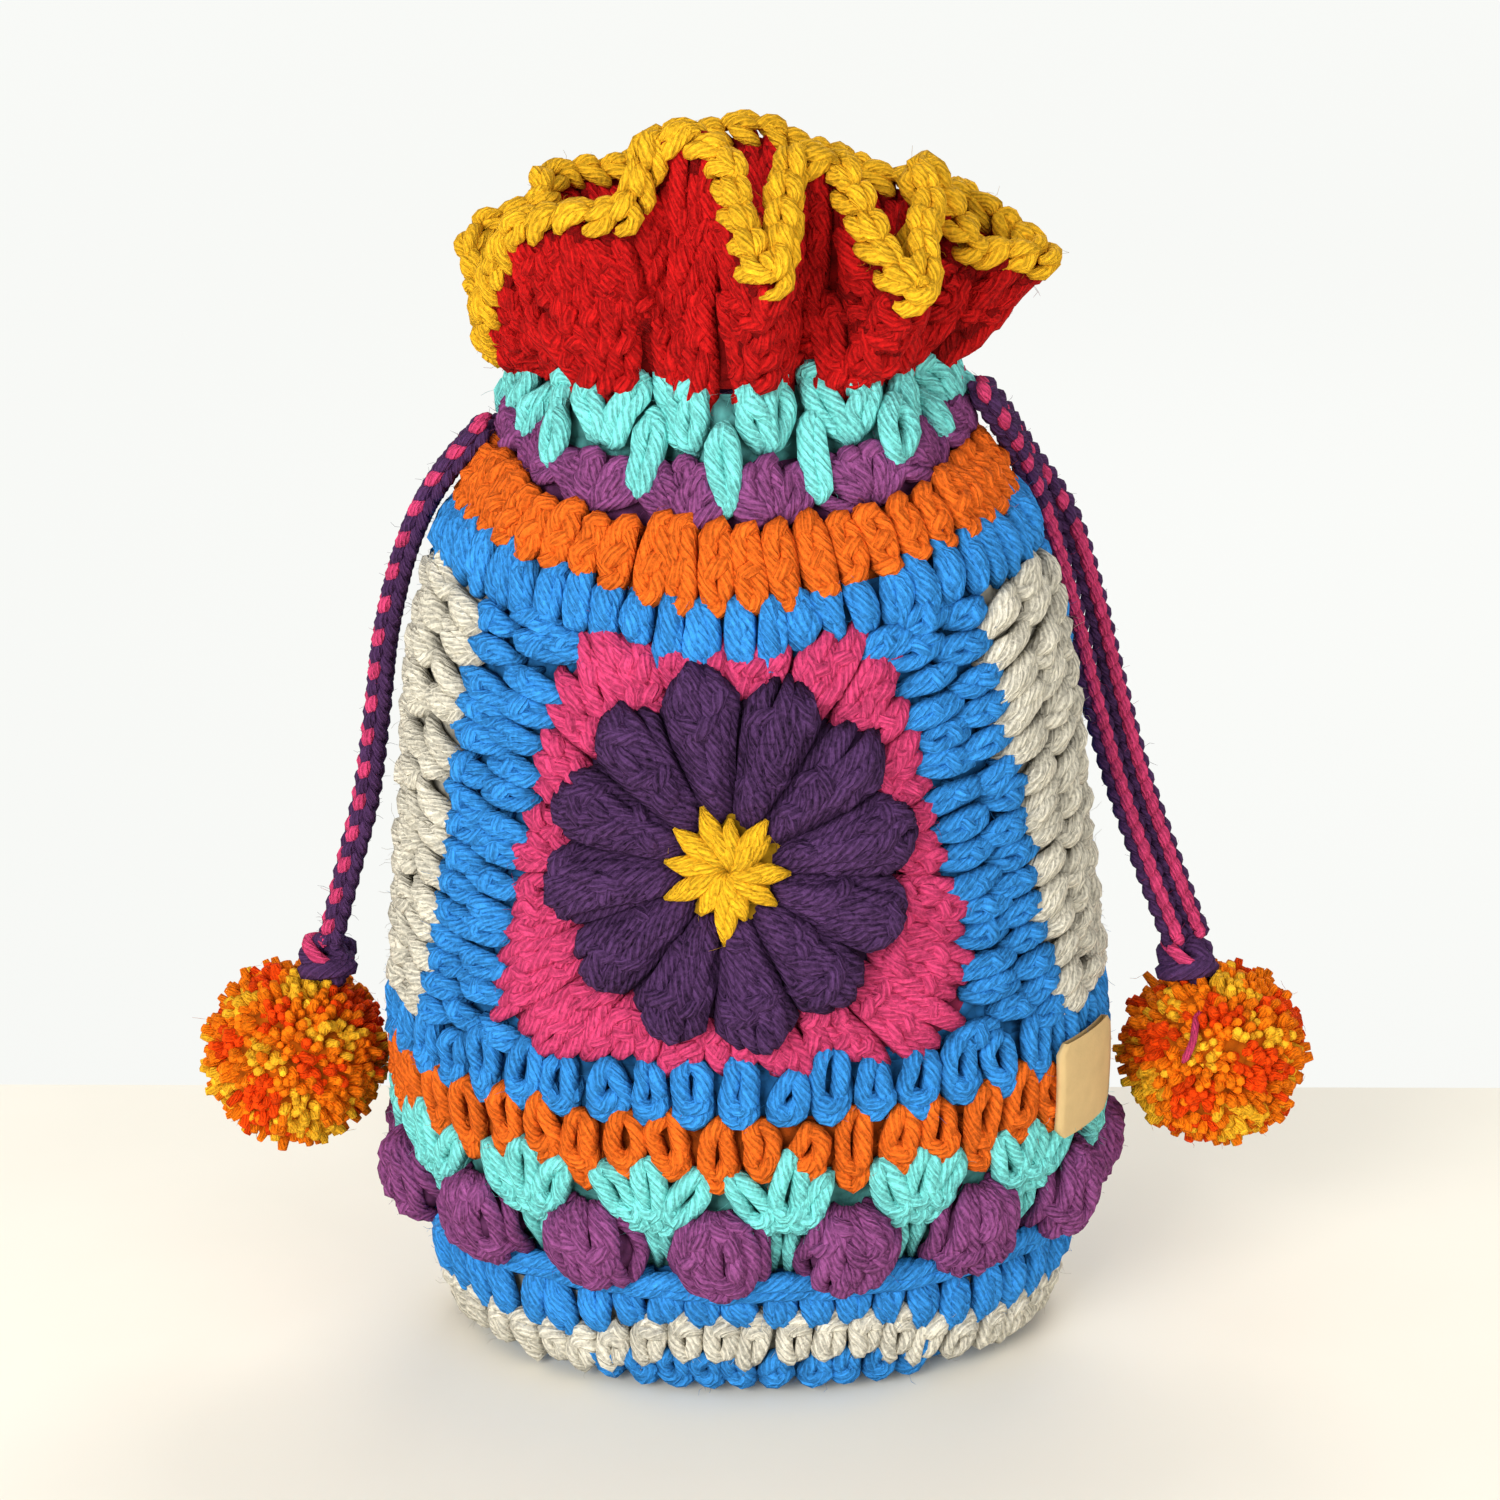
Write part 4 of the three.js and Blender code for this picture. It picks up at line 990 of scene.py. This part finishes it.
# Drawcords: chains of yarn round a line, with knots and pompoms
def chain(path, facing, pink_from, pitch):
    """A crocheted cord along a path; its facing side has pink flecks, and is all pink below pink_from."""
    lengths = lengths_along(path)
    tangent = unit(np.gradient(path, axis=0))
    first = unit(facing - np.sum(tangent * facing, axis=-1, keepdims=True) * tangent)
    second = np.cross(tangent, first)
    count = math.ceil(lengths[-1] / pitch) + 1
    step = np.linspace(0, 1, 6)
    lines = []
    tints = []
    for column in range(4):
        for k in range(count):
            at = np.clip((k + 0.5 * (column % 2) - 0.25 + 1.45 * step) * pitch, 0, lengths[-1])
            angle = (np.pi / 2 * column + np.radians(np.linspace(-28, 28, 6)) * (-1) ** column)[:, None]
            out = 1.0 + 0.45 * np.sin(np.pi * step)[:, None]
            spots, ones, twos = (taken_at(at, lengths, field) for field in (path, first, second))
            lines.append(spots + out * (ones * np.cos(angle) + twos * np.sin(angle)))
            low = spots[0, 2] < pink_from
            tints.append(0.75 if column == 0 and (low or k % 2 == 0) else 0.0)
    return yarn(np.array(lines), 1.3, tint=np.array(tints))


def make_cords():
    facings = {"left": (-0.75, -0.65, 0.0), "right": (0.45, -0.9, 0.0)}
    pink_levels = {"left": 0, "right": 152}
    knots = {side: [make_knot(side), make_pompom(side)] for side in SIDES}
    for name, route in STRANDS.items():
        side = name.split("_")[0]
        path = smooth(route, 60)
        links = chain(path, facings[side], pink_levels[side], pitch=3.2)
        strand = add_piece(f"{name}_cord", [links], "cord", f"{name}_strand", body=f"{side}_tassel")
        length = lengths_along(path)[-1]
        on_it = knots[side] if name.endswith("front") else []
        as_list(on_it)

    for side, sign in SIDES.items():
        make_loop(side, sign)


def make_loop(side, sign):
    """The stretch of a drawcord inside the neck, between the starts of its two strands."""
    exits = [np.array(STRANDS[f"{side}_{place}"][0]) for place in ("front", "back")]
    level = exits[0][2]
    wide, deep = section_at(level) - 11.5
    turn = np.radians(-28 - 33.8 * np.arange(10))
    loop = joined(sign * wide * np.cos(turn), deep * np.sin(turn), level)
    lead_in, lead_out = (
        start - np.array([(2.7 * sign, 0, 0), (9.7 * sign, 0, 0), (15.7 * sign, spread, 0)])
        for start, spread in zip(exits, (1, -1))
    )
    path = smooth(np.concatenate([lead_in, loop, lead_out[::-1]]), 120)
    links = chain(path, (0.0, 0.0, 1.0), 0, pitch=4.0)
    add_piece(f"{side}_loop", [links], "cord", f"{side}_cord_loop")


def make_knot(side):
    """The knot that ties two strands."""
    centre = np.array(KNOT_CENTRES[side])
    turn = np.linspace(0, 2 * np.pi, 22)
    ring = joined(np.cos(turn), np.sin(turn), 0)
    wraps = []
    turns = ((10, 0, 4.0, 0), (-18, 20, 4.2, 2.4), (70, 30, 3.4, 0.6), (75, -40, 3.4, 1.6))
    for tilt, lean, size, drop in turns:
        rotation = Matrix.Rotation(math.radians(lean), 3, "Z") @ Matrix.Rotation(math.radians(tilt), 3, "X")
        wraps.append(centre + size * ring @ np.array(rotation).T - (0, 0.5 * drop, drop))
    band_line = centre + 4.6 * ring @ np.array(Matrix.Rotation(math.radians(35), 3, "Y")).T
    parts = [yarn(np.array(wraps), 1.9), yarn(band_line[None], 1.3, tint=0.75)]
    if side == "right":
        loose_end = POMPOM_CENTRES[side] + np.array([
            (0, -2, 14), (-4, -9.5, 11.5), (-5.2, -14.6, 8.6), (-6.3, -15.8, 6.2), (-7.2, -15.8, 4.4),
        ])
        parts.append(yarn(smooth(loose_end, 14)[None], 0.7, tint=0.75))
    return add_piece(f"{side}_tie", parts, "cord", f"{side}_knot", body=f"{side}_tassel")


def make_pompom(side):
    """A ball of cut yarn ends round a core."""
    middle = np.array(POMPOM_CENTRES[side])
    count = 1100
    root = 12
    k = np.arange(count) + 0.5
    polar = np.arccos(1 - 2 * k / count)
    spin = np.pi * (1 + 5**0.5) * k
    direction = joined(np.cos(spin) * np.sin(polar), np.sin(spin) * np.sin(polar), np.cos(polar))
    direction = unit(direction + rng.normal(0, 0.03, (count, 3)))
    bend = rng.normal(0, 0.7, (count, 3))
    ends = POMPOM_RADIUS - 0.5 + rng.normal(0, 0.4, count)
    reach = np.linspace(0, 1, 4)
    out = root + (ends[:, None] - root) * reach
    lines = middle + out[..., None] * direction[:, None] + bend[:, None] * (reach**2)[:, None]
    patch = np.sin(direction @ (7.0, 2.0, 4.0)) + np.sin(direction @ (-3.0, 6.0, 6.0) + 1)
    tint = np.clip(0.5 + 0.2 * patch + rng.normal(0, 0.14, count), 0, 0.99)
    tufts = yarn(lines, rng.uniform(1.25, 1.75, count), tint=tint, taper=0.5)
    core_radius = 15.4
    turn = 2 * np.pi * np.arange(24) / 24
    rings = []
    for tilt in np.radians((-89, -55, -25, 0, 25, 55, 89)):
        r = core_radius * np.cos(tilt)
        rings.append(middle + joined(r * np.cos(turn), r * np.sin(turn), core_radius * np.sin(tilt)))
    core = shell(np.array(rings), closed_rows=False)
    return add_piece(f"{side}_ball", [tufts, core], "marigold", f"{side}_pompom", body=f"{side}_tassel")


# Label: a bare leather tab with round corners
def make_label():
    u = np.linspace(-1, 1, 13)
    middle = LABEL_SHARE * PERIMETER
    low = LOWER_BLUE - 0.7 * LABEL_HEIGHT
    rows = []
    for v in np.linspace(-1, 1, 11):
        corner = np.sqrt(np.clip(1 - np.clip((np.abs(v) - 0.8) / 0.2, 0, 1) ** 2, 0, 1))
        x = middle + u * (LABEL_WIDTH / 2 - 1.6 * (1 - corner))
        z = low + (v + 1) * LABEL_HEIGHT / 2
        rows.append(np.concatenate([lay(skin, x, z, 2.9), lay(skin, x[::-1], z, 1.7)]))
    tab = shell(np.array(rows), closed_rows=False, slot=0)
    add_piece("label_tab", [tab], "leather", "label")


# Studio: a plain pale floor and soft light
def add_floor():
    shader = Shader(bpy.data.materials.new("floor"))
    spot = shader.spot()
    depth = shader.node("ShaderNodeSeparateXYZ", {0: spot}).outputs[1]
    behind = shader.math("GREATER_THAN", depth, 0.1)
    distance = shader.node("ShaderNodeVectorMath", {0: spot}, operation="LENGTH").outputs["Value"]
    away = shader.node("ShaderNodeMapRange", {"Value": distance, "From Min": 0.5, "From Max": 1.0},
                       interpolation_type="SMOOTHSTEP").outputs[0]
    far = shader.math("MAXIMUM", behind, away)
    grain = shader.noise(spot, 25.0, 3.0)
    near_tone = shader.mix(grain, (0.86, 0.82, 0.71, 1), (0.90, 0.86, 0.75, 1))
    paths = shader.node("ShaderNodeLightPath").outputs
    seen = shader.math("ADD", paths["Is Camera Ray"], paths["Is Glossy Ray"])
    seen = shader.math("MINIMUM", shader.math("ADD", seen, paths["Is Transmission Ray"]), 1.0)
    wall = shader.math("MULTIPLY", seen, far)
    tone = shader.mix(wall, near_tone, (0, 0, 0, 1))
    material = shader.finish(tone, grain, 0.02, 0.0005, roughness=0.8)
    shader.put(shader.surface.inputs["Emission Color"], (0.92, 0.93, 0.905, 1))
    shader.put(shader.surface.inputs["Emission Strength"], wall)
    mesh = bpy.data.meshes.new("floor")
    size = 12
    corners = [(-size, -size, 0), (size, -size, 0), (size, size, 0), (-size, size, 0)]
    mesh.from_pydata(corners, [], [(0, 1, 2, 3)])
    mesh.materials.append(material)
    floor = bpy.data.objects.new("floor", mesh)
    bpy.context.collection.objects.link(floor)


def add_world():
    """Even white light, a little brighter where the camera sees it."""
    world = bpy.data.worlds.new("world")
    shader = Shader(world, "Background")
    seen = shader.node("ShaderNodeLightPath").outputs["Is Camera Ray"]
    shader.put(shader.surface.inputs["Color"], (1, 1, 1, 1))
    shader.put(shader.surface.inputs["Strength"], shader.math("MULTIPLY_ADD", seen, 0.34, 0.58))
    bpy.context.scene.world = world


def add_lamps():
    for name, place, size, power in (
        ("key", (-0.55, -1.0, 0.5), 0.6, 13),
        ("fill", (0.8, -0.9, 0.35), 0.8, 5),
        ("back", (0.2, 1.1, 0.7), 0.8, 9),
    ):
        lamp = bpy.data.lights.new(name, "AREA")
        lamp.energy = power
        lamp.size = size
        light = bpy.data.objects.new(name, lamp)
        light.location = place
        light.rotation_mode = "QUATERNION"
        light.rotation_quaternion = (Vector((0, 0, 0.1)) - Vector(place)).to_track_quat("-Z", "Y")
        bpy.context.collection.objects.link(light)


add_camera()
make_cords()
make_base_rounds()
make_wall_rounds()
make_base()
make_bobble_round()
make_square("front", 0, FRONT_HALF_WIDTH, FRONT_NARROWING, PINK_NARROWING)
make_square("back", PERIMETER / 2, BACK_HALF_WIDTH, 0, 0)
make_joins()
make_neck()
make_ruffle()
make_label()
add_floor()
add_world()
add_lamps()
bpy.context.scene.view_settings.view_transform = "Standard"
